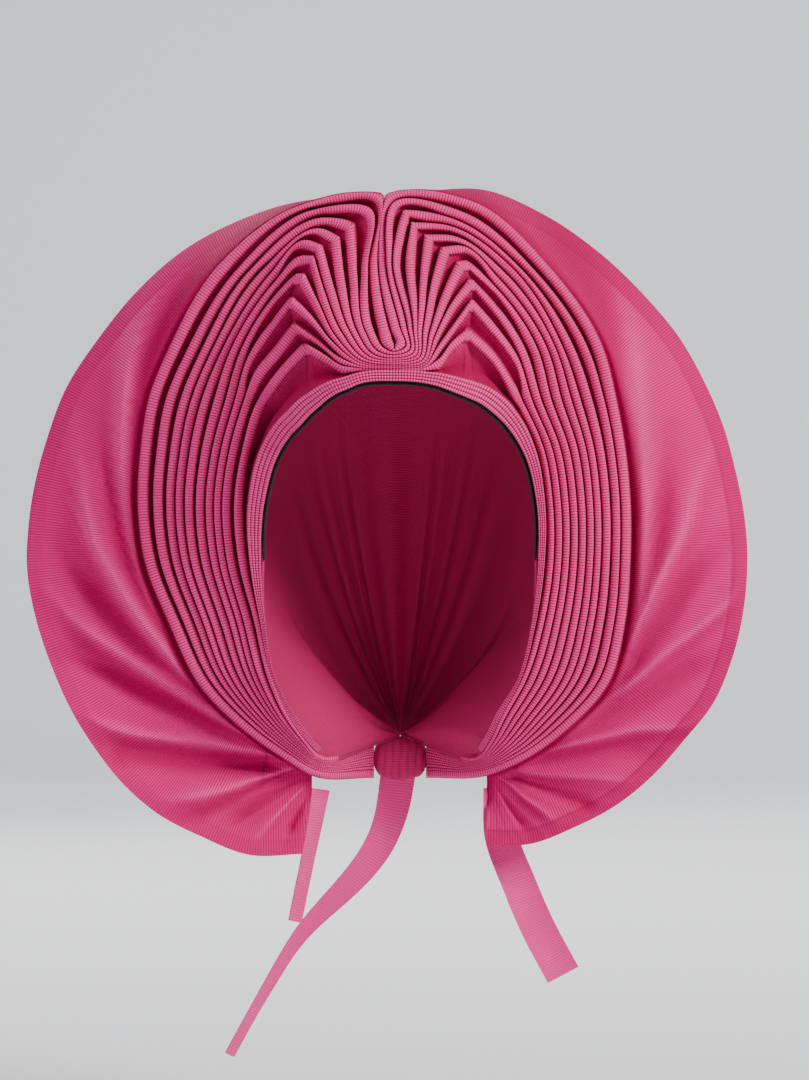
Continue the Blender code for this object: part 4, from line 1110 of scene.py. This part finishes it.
@dataclass
class Wing:
    """One smooth flared wing, from behind the last pleat out to its turned hem."""

    plan: PleatPlan
    fan: PleatedFan
    name: str
    node: str
    hand: float
    rays: Sequence[Ray]
    folds: Sequence[Fold]
    hem_tone: float
    shade: float
    rows: int = 300
    columns: int = 72
    tuck: float = 0.5
    clear: float = 0.3
    roll: float = 0.0035
    roll_lift: float = 0.0085
    bundle_drop: float = 0.01034
    bundle_back: float = 0.004
    cloth: float = 0.0011
    hem_width: float = 0.007
    hem_lift: float = 0.0003
    hem_soft: float = 0.0003
    seam_dip: float = 0.0002
    seam_width: float = 0.0005
    wave: float = 0.0012
    wave_length: float = 0.021
    wave_reach: float = 0.05
    tuck_meet: float = 0.49
    path_steps: int = 120
    pucker: float = 0.0005
    # Sizes of the painted crest highlight and of the painted shade below each crest.
    crest_share: float = 0.65
    under_shade_off: float = 1.1
    under_shade_half: float = 0.85

    def start_lines(self, starts: Array) -> tuple[Array, Array, Array]:
        """Where the wing is tucked in, where it comes clear of the pleat, and how deep."""
        plan, fan = self.plan, self.fan
        grid = plan.stations(fan.per_side, fan.per_top)
        edge, ridge = plan.outer_edge(grid, self.tuck_meet), plan.ridges(grid)[:, -1]
        width = np.linalg.norm(edge - ridge, axis=1)
        fall = np.minimum(fan.deepest, fan.steep * 2 * width)
        depth = plan.depths(grid)[2] + fall + fan.wall + 2 * plan.gap
        stations = np.maximum(starts, GATHER)
        stations = plan.last - stations if self.hand > 0 else stations

        def at(values: Array) -> Array:
            """Values of the even stations read where the rays start."""
            return np.interp(stations, grid, values)

        edge = np.stack([at(edge[:, 0]), at(edge[:, 1])], axis=-1)
        ridge = np.stack([at(ridge[:, 0]), at(ridge[:, 1])], axis=-1)
        below = np.clip(GATHER - starts, 0, 1)
        drop = below[:, None] * np.array([0.0, -self.bundle_drop])
        away = np.abs(stations - plan.last / 2)
        out = self.clear * np.interp(away, [4.2, 4.5], [0.5, 1.0])
        inner = edge + (ridge - edge) * self.tuck + drop
        clear = edge + (edge - ridge) * out[:, None] + drop
        return inner, clear, at(depth) + below * self.bundle_back

    def hem_places(self, spots: Array) -> tuple[Array, Array]:
        """Where each spot lies along the hem, and how far from it."""
        given = np.array([VIEW.share(ray.hem, self.hand) for ray in self.rays])
        line = smooth(given, np.linspace(0, len(given) - 1, 700))
        run = run_length(line)
        tangent = np.gradient(eased(line, 150), axis=0)
        tangent /= np.linalg.norm(tangent, axis=1, keepdims=True)
        along, away = np.empty(spots.shape[:2]), np.empty(spots.shape[:2])
        for i, row in enumerate(spots):
            gap = row[:, None] - line
            near = np.argmin((gap**2).sum(axis=-1), axis=1)
            miss = row - line[near]
            along[i] = run[near] + (miss * tangent[near]).sum(axis=-1)
            away[i] = np.linalg.norm(miss, axis=-1)
        return along, away

    def fold_relief(self, spots: Array, gather: Array) -> tuple[Array, Array, Array]:
        """How far the soft folds bring the cloth forward, with their painted crest highlight and painted
        valley shade.

        Args:
            spots: front-view places on the wing.
            gather: where the folds meet.

        Returns:
            The lift in metres, then the painted highlight on crests and the painted shade in valleys,
            below crests and near the gathers, from 0 to 1.
        """
        reach = np.linalg.norm(spots - gather, axis=-1)
        lift, crest, valley_shade = np.zeros((3,) + reach.shape)
        near = np.clip(reach / (0.45 * VIEW.side), 0.10, 1.0)
        for fold in self.folds:
            points = VIEW.units(fold.path)
            path = smooth(points, np.linspace(0, len(points) - 1, self.path_steps))
            miss = spots[..., None, :] - path
            gap = np.linalg.norm(miss, axis=-1)
            nearest = gap.argmin(axis=-1)
            fall = np.take_along_axis(miss[..., 1], nearest[..., None], axis=-1)[..., 0]
            gap = gap.min(axis=-1)
            under = np.clip(-fall / np.maximum(gap, 1e-6), 0, 1)
            off = gap / (fold.width * 0.001 * near)
            # Painted shade on the lower side of each crest, where light from above falls away.
            under_shade = under * np.exp(-(((off - self.under_shade_off) / self.under_shade_half) ** 2))
            if fold.lift > 0:
                off = off * (1 + 0.9 * under)
            shape = np.exp(-(off**2)) if fold.lift < 0 else np.exp(0.2 - np.hypot(off, 0.2))
            full = 0.25 + 0.75 * ramp(nearest / (self.path_steps - 1), 0.0, 0.25)
            lift += fold.lift * 0.001 * shape * full
            # Painted highlight along each crest.
            line = np.exp(-((off / self.crest_share) ** 2)) * full
            if fold.lift > 0:
                crest = np.maximum(crest, line * min(fold.lift / 5, 1))
                valley_shade = np.maximum(valley_shade, under_shade * full * min(fold.lift / 5, 1))
            else:
                valley_shade = np.maximum(valley_shade, shape * full * min(-fold.lift / 5, 1))
        angle = np.arctan2(spots[..., 1] - gather[1], spots[..., 0] - gather[0])
        tight = np.exp(-reach / (0.28 * VIEW.side)) * np.clip(reach / 0.008, 0, 1)
        lift += self.pucker * tight * (np.sin(46 * angle) + 0.6 * np.sin(83 * angle + 1.3))
        lift = lift * np.clip(reach / (0.32 * VIEW.side), 0.05, 1.0)
        # Painted shade near the gathers, kept off the crests.
        valley_shade = np.maximum(valley_shade, 0.8 * np.exp(-reach / (0.036 * self.shade))) * (1 - crest)
        return lift, crest, valley_shade

    def build(self, dyer: Dyer) -> bpy.types.Object:
        """Builds the wing and lays it over its solid."""
        places = np.linspace(0, len(self.rays) - 1, self.rows)
        count = np.arange(len(self.rays))
        starts = np.interp(places, count, [ray.start for ray in self.rays])
        inner, clear, start_depth = self.start_lines(starts)
        hem = smooth([VIEW.share(ray.hem, self.hand) for ray in self.rays], places)
        hem_depth = np.interp(places, count, [ray.depth for ray in self.rays]) * self.plan.head_half
        span = np.linalg.norm(hem - clear, axis=1)[:, None]
        share = np.linspace(0, 1, self.columns - 1) ** 1.35
        share = np.broadcast_to(np.concatenate([[0.0], share]), (self.rows, self.columns))
        spots = clear[:, None] + (hem - clear)[:, None] * share[..., None]
        spots[:, 0] = inner
        depth = start_depth[:, None] * (1 - share) + hem_depth[:, None] * share
        out = share * span
        roll = (1 - np.exp(-out / self.roll)) * (1 - share)
        lift = self.roll_lift * roll * np.clip(span / (0.25 * VIEW.side), 0, 1)
        lift = lift * np.clip((starts - GATHER) / 5, 0.1, 1)[:, None]
        gather = clear[np.argmin(np.abs(starts - GATHER))]
        folds, crest, valley_shade = self.fold_relief(spots, gather)
        lift = lift + folds * np.clip(out / (0.08 * VIEW.side), 0, 1)
        along, away = self.hem_places(spots)
        turned = 1 - ramp(away, self.hem_width - self.hem_soft, self.hem_width + self.hem_soft)
        seam = np.exp(-(((away - self.hem_width) / self.seam_width) ** 2))
        wave = self.wave * np.sin(along / self.wave_length) * ramp(1 - away / self.wave_reach, 0, 1)
        lift = lift + self.hem_lift * turned - self.seam_dip * seam + wave
        hem_relief = (0.7 * turned + 0.6 * seam) * self.hem_tone
        # Painted shade where the wing comes out from under the last pleat, and in the folds' valleys.
        inside = np.maximum(1 - ramp(out, 0.0, 0.008), self.shade * valley_shade)
        # The second value: hem tone, less the painted highlight on crests.
        shine = np.clip(hem_relief, 0, 1) - 0.75 * crest * (1 - turned)
        relief = np.stack([0.8 * inside, shine], axis=-1)
        ribs = np.stack([along, away], axis=-1)
        front = Layer(VIEW.real(spots, depth - lift), ribs, relief)
        back = Layer(VIEW.real(spots, depth - lift + self.cloth), ribs, relief)
        thing = cloth_object(self.name, front, back, dyer.cloth(WING_CLOTH), 70)
        settle(thing, self.node)
        return thing


@dataclass
class ForeheadBand:
    """Folded strips round the face opening."""

    plan: PleatPlan
    name: str = "folded_band"
    strips: int = 4
    strip_columns: int = 7
    thick: float = 0.0026

    def build(self, dyer: Dyer) -> bpy.types.Object:
        """Builds the band and lays it over its solid."""
        plan = self.plan
        stations = plan.stations(8, 14)
        stations = stations[(stations >= GATHER) & (stations <= plan.last - GATHER)]
        line, wide = plan.rim(stations), plan.widths(stations)
        depth = plan.depths(stations)[0] - plan.gap
        out = outward(line)
        over = plan.inward(stations, 0.0014, 0.0)
        line, wide = line - out * over[:, None], wide + over
        local = np.linspace(0, 1, self.strip_columns)
        roll = np.sin(np.pi * local) ** 0.45
        across, high = [], []
        for strip in range(self.strips):
            cut = slice(None) if strip == self.strips - 1 else slice(None, -1)
            across += list((strip + local[cut]) / self.strips)
            high += list((roll * (0.42 - 0.05 * strip) + 0.58)[cut])
        across, high = np.array(across), np.array(high)
        spots = line[:, None] + out[:, None] * (wide[:, None] * across)[..., None]
        points = VIEW.real(spots, depth[:, None] - self.thick * high)
        run = run_length(points[:, 0])
        run = run - run[len(run) // 2]
        ribs = np.stack(np.broadcast_arrays(run[:, None], wide[:, None] * across), axis=-1)
        # Painted shade in the low parts between the folded strips.
        dark = np.broadcast_to(np.clip(1 - (high - 0.58) / 0.2, 0, 1), ribs.shape[:2])
        front = Layer(points, ribs, np.stack([0.8 * dark, 0 * dark], axis=-1))
        ends = [0, len(across) - 1]
        behind = VIEW.real(spots[:, ends], np.stack([depth, depth], axis=1))
        back = Layer(behind, ribs[:, ends], np.full((len(stations), 2, 2), 0.0))
        thing = cloth_object(self.name, front, back, dyer.cloth(BAND_CLOTH), 60)
        settle(thing, "forehead_band")
        return thing


@dataclass
class HeadShape:
    """The head that the cap and the lining are drawn over."""

    plan: PleatPlan
    breadth: float = 0.146
    drop: float = 0.092
    nape_drop: float = 0.2075
    nape_back: float = 0.068
    lining_width: float = 0.010
    lining_lip: float = 0.002
    lining_end: int = 6
    cloth: float = 0.0012

    def radius(self, way: Array) -> Array:
        """Distance from the head's middle to its surface in unit directions."""
        up = np.where(way[..., 2] >= 0, self.drop, (self.nape_drop - self.drop) * 1.12)
        half = np.full(up.shape, self.plan.head_half * 0.95)
        sizes = np.stack([np.full(up.shape, self.breadth / 2), half, up], axis=-1)
        return 1 / np.linalg.norm(way / sizes, axis=-1)

    def sheet(self, stations: Array, shares: Array) -> Array:
        """Points from the lining's lip back to the nape.

        Args:
            stations: one row each.
            shares: of the way to the nape, per row or the same in all.

        Returns:
            (rows, columns, 3) points.
        """
        plan = self.plan
        line = plan.rim(stations)
        from_end = np.minimum(stations, plan.last - stations)
        inward = plan.inward(stations, self.cloth, self.lining_lip)
        inward = inward - np.interp(from_end, [0.2, 0.5, 1.1, 1.7], [0.002, 0.005, 0.005, 0.0])
        lip = line - outward(line) * inward[:, None]
        start = VIEW.real(lip, plan.depths(stations)[0] + plan.gap)
        middle = np.array([0.0, 0.0, -self.drop])
        end = np.array([0.0, self.nape_back, -self.nape_drop])
        a, b = start - middle, end - middle
        a_long, b_long = np.linalg.norm(a, axis=1), np.linalg.norm(b)
        a_way, b_way = a / a_long[:, None], b / b_long
        over = 1.2 * a_way[:, 2] + 1.3 * np.clip(a_way[:, 2] + 0.2, 0, 1)
        via = np.stack([1.4 * a_way[:, 0], np.full(len(a), 0.9), over], axis=-1)
        share = np.broadcast_to(shares, (len(stations), np.shape(shares)[-1]))
        s = share[..., None]
        way = (1 - s) ** 2 * a_way[:, None] + 2 * s * (1 - s) * via[:, None] + s**2 * b_way
        way /= np.linalg.norm(way, axis=-1, keepdims=True)
        extra_a = (a_long / self.radius(a_way))[:, None] - 1
        extra_b = b_long / self.radius(b_way) - 1
        fade_a = np.clip(1 - share / 0.5, 0, 1) ** 2
        fade_b = np.clip((share - 0.6) / 0.4, 0, 1) ** 2
        long = self.radius(way) * (1 + extra_a * fade_a + extra_b * fade_b)
        round_head = middle + way * long[..., None]
        straight = start[:, None] * (1 - s) + end * s
        full = np.clip((from_end - GATHER) / 4.0, 0, 1)[:, None, None]
        return straight * (1 - full) + round_head * full

    def outside(self, points: Array, wall: object) -> Array:
        """The points moved off the head's middle by a wall of cloth."""
        way = points - np.array([0.0, 0.0, -self.drop])
        return points + way / np.linalg.norm(way, axis=-1, keepdims=True) * wall

    def lining_share(self, stations: Array) -> Array:
        """The share of the way to the nape that the lining covers."""
        line = self.sheet(stations, np.linspace(0, 1, 41))
        total = np.linalg.norm(np.diff(line, axis=1), axis=-1).sum(axis=1)
        from_end = np.minimum(stations, self.plan.last - stations)
        return self.lining_width * (0.05 + 0.95 * ramp(from_end, 5.9, 7.2)) / total


def surface_places(points: Array) -> Array:
    """Rib places of a grid of points: along its columns, and across its rows."""
    across = np.concatenate([np.zeros(len(points))[:, None], np.cumsum(
        np.linalg.norm(np.diff(points, axis=1), axis=-1), axis=1)], axis=1)
    middle = points[:, points.shape[1] // 3]
    return np.stack([across, np.broadcast_to(run_length(middle)[:, None], across.shape)], axis=-1)


@dataclass
class EdgeLining:
    """The dark lining strip just inside the band."""

    head: HeadShape
    name: str = "black_edge_lining"
    wall: float = 0.0009
    columns: int = 10

    def build(self, dyer: Dyer) -> bpy.types.Object:
        """Builds the strip and lays it over its solid."""
        head = self.head
        stations = head.plan.stations(8, 8)
        end = head.lining_end
        stations = stations[(stations >= end) & (stations <= head.plan.last - end)]
        share = np.linspace(0, 1, self.columns) * head.lining_share(stations)[:, None]
        inner = head.sheet(stations, share)
        ribs = surface_places(inner)
        blank = np.zeros(ribs.shape)
        outer = head.outside(inner, self.wall)
        front, back = Layer(inner, ribs, blank), Layer(outer, ribs, blank)
        thing = cloth_object(self.name, front, back, dyer.lining(LINING_CLOTH), 70)
        settle(thing, "edge_lining")
        return thing


@dataclass
class BackCap:
    """The plain cap over the back of the head, gathered at the nape."""

    head: HeadShape
    name: str = "gathered_back_cap"
    first: float = 0.3
    lining_gap: float = 0.003
    reach: float = 0.9993
    columns: int = 64
    pucker: float = 0.0011

    def build(self, dyer: Dyer) -> bpy.types.Object:
        """Builds the cap and lays it over its solid."""
        head, plan = self.head, self.head.plan
        stations = plan.stations(6, 8)
        stations = stations[(stations >= self.first) & (stations <= plan.last - self.first)]
        below = head.lining_end - np.minimum(stations, plan.last - stations)
        starts = head.lining_share(stations) + self.lining_gap
        starts = (starts * np.clip(1 - below, 0, 1))[:, None]
        along = np.linspace(0, self.reach, self.columns)
        inner = head.sheet(stations, starts + (1 - starts) * along)
        turn = stations[:, None] * (2 * math.pi / plan.last)
        tight = ramp(along, 0.62, 0.95) * (1 - ramp(along, 0.96, self.reach))
        fold = np.sin(19 * turn) + 0.5 * np.sin(31 * turn + 0.7)
        inner = head.outside(inner, (self.pucker * (fold + 1.5) * tight)[..., None])
        ribs = surface_places(inner)
        # Painted shade in the pucker folds at the nape.
        dark = np.clip(0.35 - 0.4 * fold, 0, 1) * tight
        relief = np.stack([dark, 0 * dark], axis=-1)
        front = Layer(inner, ribs, relief)
        back = Layer(head.outside(inner, head.cloth), ribs, relief)
        thing = cloth_object(self.name, front, back, dyer.cloth(SHADED_CAP_CLOTH), 70)
        settle(thing, "back_cap")
        return thing


@dataclass
class NapeKnot:
    """The plain knot that binds the gathered ends."""

    name: str = "bound_knot"
    end_reach: float = 0.0012
    rows: int = 40
    around: int = 64

    def build(self, dyer: Dyer) -> bpy.types.Object:
        """Builds the knot inside its solid's box."""
        low, high = (np.array(corner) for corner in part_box("nape_knot"))
        middle, half = (low + high) / 2, (high - low) / 2
        share = np.sin(np.linspace(-math.pi / 2, math.pi / 2, self.rows))[:, None]
        turn = np.linspace(0, 2 * math.pi, self.around, endpoint=False)[None]
        swell = (1 - 0.30 * share**2) * np.sqrt(np.maximum(1 - np.abs(share) ** 9, 0.02))
        crease = 1 - 0.045 * (0.5 + 0.5 * np.cos(22 * share + 0.8 * np.sin(2 * turn))) ** 3
        points = middle + np.stack(np.broadcast_arrays(
            share * (half[0] + self.end_reach), np.cos(turn) * half[1] * swell * crease,
            np.sin(turn) * half[2] * swell * crease), axis=-1)
        ribs = np.stack(np.broadcast_arrays(turn * half[2], share * half[0]), axis=-1)
        # Painted shade in the knot's creases.
        dark = np.clip(1 - (crease - 0.955) / 0.03, 0, 1) * 0.7
        relief = np.stack([dark, 0 * dark], axis=-1)
        n = self.around
        faces = [tuple(range(n)), tuple(range((self.rows - 1) * n, self.rows * n))]
        for i in range(self.rows - 1):
            for j in range(n):
                k = (j + 1) % n
                faces.append((i * n + j, i * n + k, (i + 1) * n + k, (i + 1) * n + j))
        grid = Layer(points, ribs, relief).flat()
        thing = mesh_object(self.name, grid[0], faces, grid[1], grid[2], dyer.cloth(SHADED_CAP_CLOTH), 60)
        settle(thing, "nape_knot")
        return thing


@dataclass
class Tie:
    """A flat tie that hangs from the gathers."""

    name: str
    node: str
    straps: Sequence[Strap]
    head_half: float
    length: float
    width: float = 0.0165
    wall: float = 0.0012
    set_back: float = 0.0015
    stitch_lift: float = 0.00015
    rows: int = 110
    columns: int = 17

    def build(self, dyer: Dyer) -> bpy.types.Object:
        """Builds the tie and lays it over its solid."""
        places = np.linspace(0, len(self.straps) - 1, self.rows)
        given = np.arange(len(self.straps))
        edge = smooth([VIEW.share(s.edge) for s in self.straps], places)
        depth = eased(np.interp(places, given, [s.depth for s in self.straps]), 30) * self.head_half
        turn = np.radians(eased(np.interp(places, given, [s.turn for s in self.straps]), 30))
        side = outward(edge)
        share = np.linspace(0, 1, self.columns)
        span = self.width * share
        spots = edge[:, None] + side[:, None] * (span * np.cos(turn)[:, None])[..., None]
        cup = 0.10 * self.width * np.sin(share * math.pi)
        level = depth[:, None] + self.set_back + span * np.sin(turn)[:, None] + cup
        rim = np.abs(2 * share - 1)
        stitch = np.exp(-(((rim - 0.80) / 0.035) ** 2))
        points = VIEW.real(spots, level + self.stitch_lift * stitch)
        way = np.stack([-np.sin(turn), np.cos(turn), np.zeros(len(turn))], axis=-1)
        wall = self.wall * (1 - 0.55 * rim**6)
        behind = points + way[:, None] * wall[:, None]
        run = run_length(points[:, 0])
        ribs = np.stack(np.broadcast_arrays(run[:, None], span), axis=-1)
        hem = np.broadcast_to(0.8 * stitch, ribs.shape[:2])
        relief = np.stack([0 * hem, hem], axis=-1)
        front, back = Layer(points, ribs, relief), Layer(behind, ribs, relief)
        thing = cloth_object(self.name, front, back, dyer.cloth(TIE_CLOTH), 50)
        settle(thing, self.node)
        return thing


class Lamp(NamedTuple):
    """A soft square light: its place, size in metres, power in watts and target."""

    name: str
    place: tuple[float, float, float]
    size: float
    power: float
    colour: tuple[float, float, float] = (1.0, 1.0, 1.0)
    target: tuple[float, float, float] = (0.0, 0.0, -0.12)


LAMPS = (
    Lamp("key", (2.0, -1.75, 1.35), 1.0, 112.0, (1.0, 0.985, 0.97)),
    Lamp("fill", (-2.0, -1.0, 1.70), 1.2, 36.0, (0.95, 0.97, 1.0)),
    Lamp("top", (0.2, 0.2, 1.9), 1.6, 6.0),
    Lamp("back", (-0.9, 1.9, 0.8), 1.2, 16.0),
    Lamp("wash", (0.5, 1.2, 2.2), 1.5, 120.0, target=(0.9, 5.6, 0.1)),
)


@dataclass
class Studio:
    """A plain pale floor that curves up far off, soft lights and the camera."""

    floor_drop: float = 0.05
    flat_reach: float = 3.6
    bowl_reach: float = 6.0
    rings: int = 24
    around: int = 96

    def build(self, low: Array) -> None:
        """Builds the floor, the lights, the sky and the camera."""
        self.floor(low)
        for lamp in LAMPS:
            self.light(lamp)
        world = bpy.data.worlds.new("pale_room")
        world.use_nodes = True
        set_inputs(world.node_tree.nodes["Background"], Color=(0.86, 0.88, 0.92, 1.0),
                   Strength=0.24)
        bpy.context.scene.world = world
        self.camera()

    def floor(self, low: Array) -> None:
        """A pale floor, flat under the object and curved up beyond every camera."""
        share = np.linspace(0, 1, self.rings)
        reach = np.concatenate([[0.02], self.flat_reach + (self.bowl_reach - self.flat_reach) * share])
        rise = np.concatenate([[0.0], 4.0 * (1 - np.sqrt(1 - (share * 0.999) ** 2))])
        turn = np.linspace(0, 2 * math.pi, self.around, endpoint=False)
        floor_up = float(low[2]) - self.floor_drop
        points = [(r * math.cos(a), r * math.sin(a), floor_up + h)
                  for r, h in zip(reach, rise) for a in turn]
        n = self.around
        faces = [tuple(range(n))]
        for i in range(len(reach) - 1):
            faces += [(i * n + j, (i + 1) * n + j, (i + 1) * n + (j + 1) % n, i * n + (j + 1) % n)
                      for j in range(n)]
        mesh = bpy.data.meshes.new("pale_floor")
        mesh.from_pydata(points, [], faces)
        mesh.polygons.foreach_set("use_smooth", np.ones(len(mesh.polygons), dtype=bool))
        material = bpy.data.materials.new("pale_floor")
        material.use_nodes = True
        shader = material.node_tree.nodes["Principled BSDF"]
        set_inputs(shader, Base_Color=(0.84, 0.85, 0.87, 1.0), Roughness=0.9,
                   Specular_IOR_Level=0.1)
        mesh.materials.append(material)
        thing = bpy.data.objects.new("pale_floor", mesh)
        bpy.context.scene.collection.objects.link(thing)
        thing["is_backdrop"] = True

    def light(self, lamp: Lamp) -> None:
        """A soft square light that looks at its target."""
        data = bpy.data.lights.new(lamp.name, "AREA")
        data.shape, data.size = "SQUARE", lamp.size
        data.energy, data.color = lamp.power, lamp.colour
        thing = bpy.data.objects.new(lamp.name, data)
        thing.location = lamp.place
        aim = Vector(lamp.target) - Vector(lamp.place)
        thing.rotation_mode = "QUATERNION"
        thing.rotation_quaternion = aim.to_track_quat("-Z", "Y")
        bpy.context.scene.collection.objects.link(thing)

    def camera(self) -> None:
        """The camera at the photograph's place and angle."""
        data = bpy.data.cameras.new("front_camera")
        data.sensor_width = 36.0
        data.lens = 36.0 * (VIEW.distance + VIEW.plane) / (VIEW.picture_high * VIEW.unit)
        data.clip_end = 60.0
        eye = bpy.data.objects.new("front_camera", data)
        eye.location = (VIEW.across, -VIEW.distance, VIEW.up)
        eye.rotation_euler = (math.pi / 2, 0.0, 0.0)
        bpy.context.scene.collection.objects.link(eye)
        bpy.context.scene.camera = eye


def main() -> None:
    """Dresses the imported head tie, piece by piece."""
    logging.basicConfig(level=logging.INFO, format="%(name)s: %(message)s")
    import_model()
    cad_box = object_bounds()
    dyer = Dyer()
    plan = PleatPlan()
    fan = PleatedFan(plan)
    head = HeadShape(plan)
    fan.build(dyer)
    Wing(plan, fan, "left_wing_cloth", "wing_left", -1.0, LEFT_WING, LEFT_FOLDS,
         hem_tone=0.45, shade=0.95).build(dyer)
    Wing(plan, fan, "right_wing_cloth", "wing_right", 1.0, RIGHT_WING, RIGHT_FOLDS,
         hem_tone=1.0, shade=0.8).build(dyer)
    ForeheadBand(plan).build(dyer)
    EdgeLining(head).build(dyer)
    BackCap(head).build(dyer)
    NapeKnot().build(dyer)
    for name, node, straps, length in (
        ("right_tie_cloth", "tie_right", RIGHT_TIE, 0.110),
        ("left_short_tie_cloth", "tie_left_short", SHORT_TIE, 0.071),
        ("left_long_tie_cloth", "tie_left_long", LONG_TIE, 0.186),
    ):
        Tie(name, node, straps, plan.head_half, length).build(dyer)
    Studio().build(np.array(cad_box[0]))


if __name__ == "__main__":
    main()
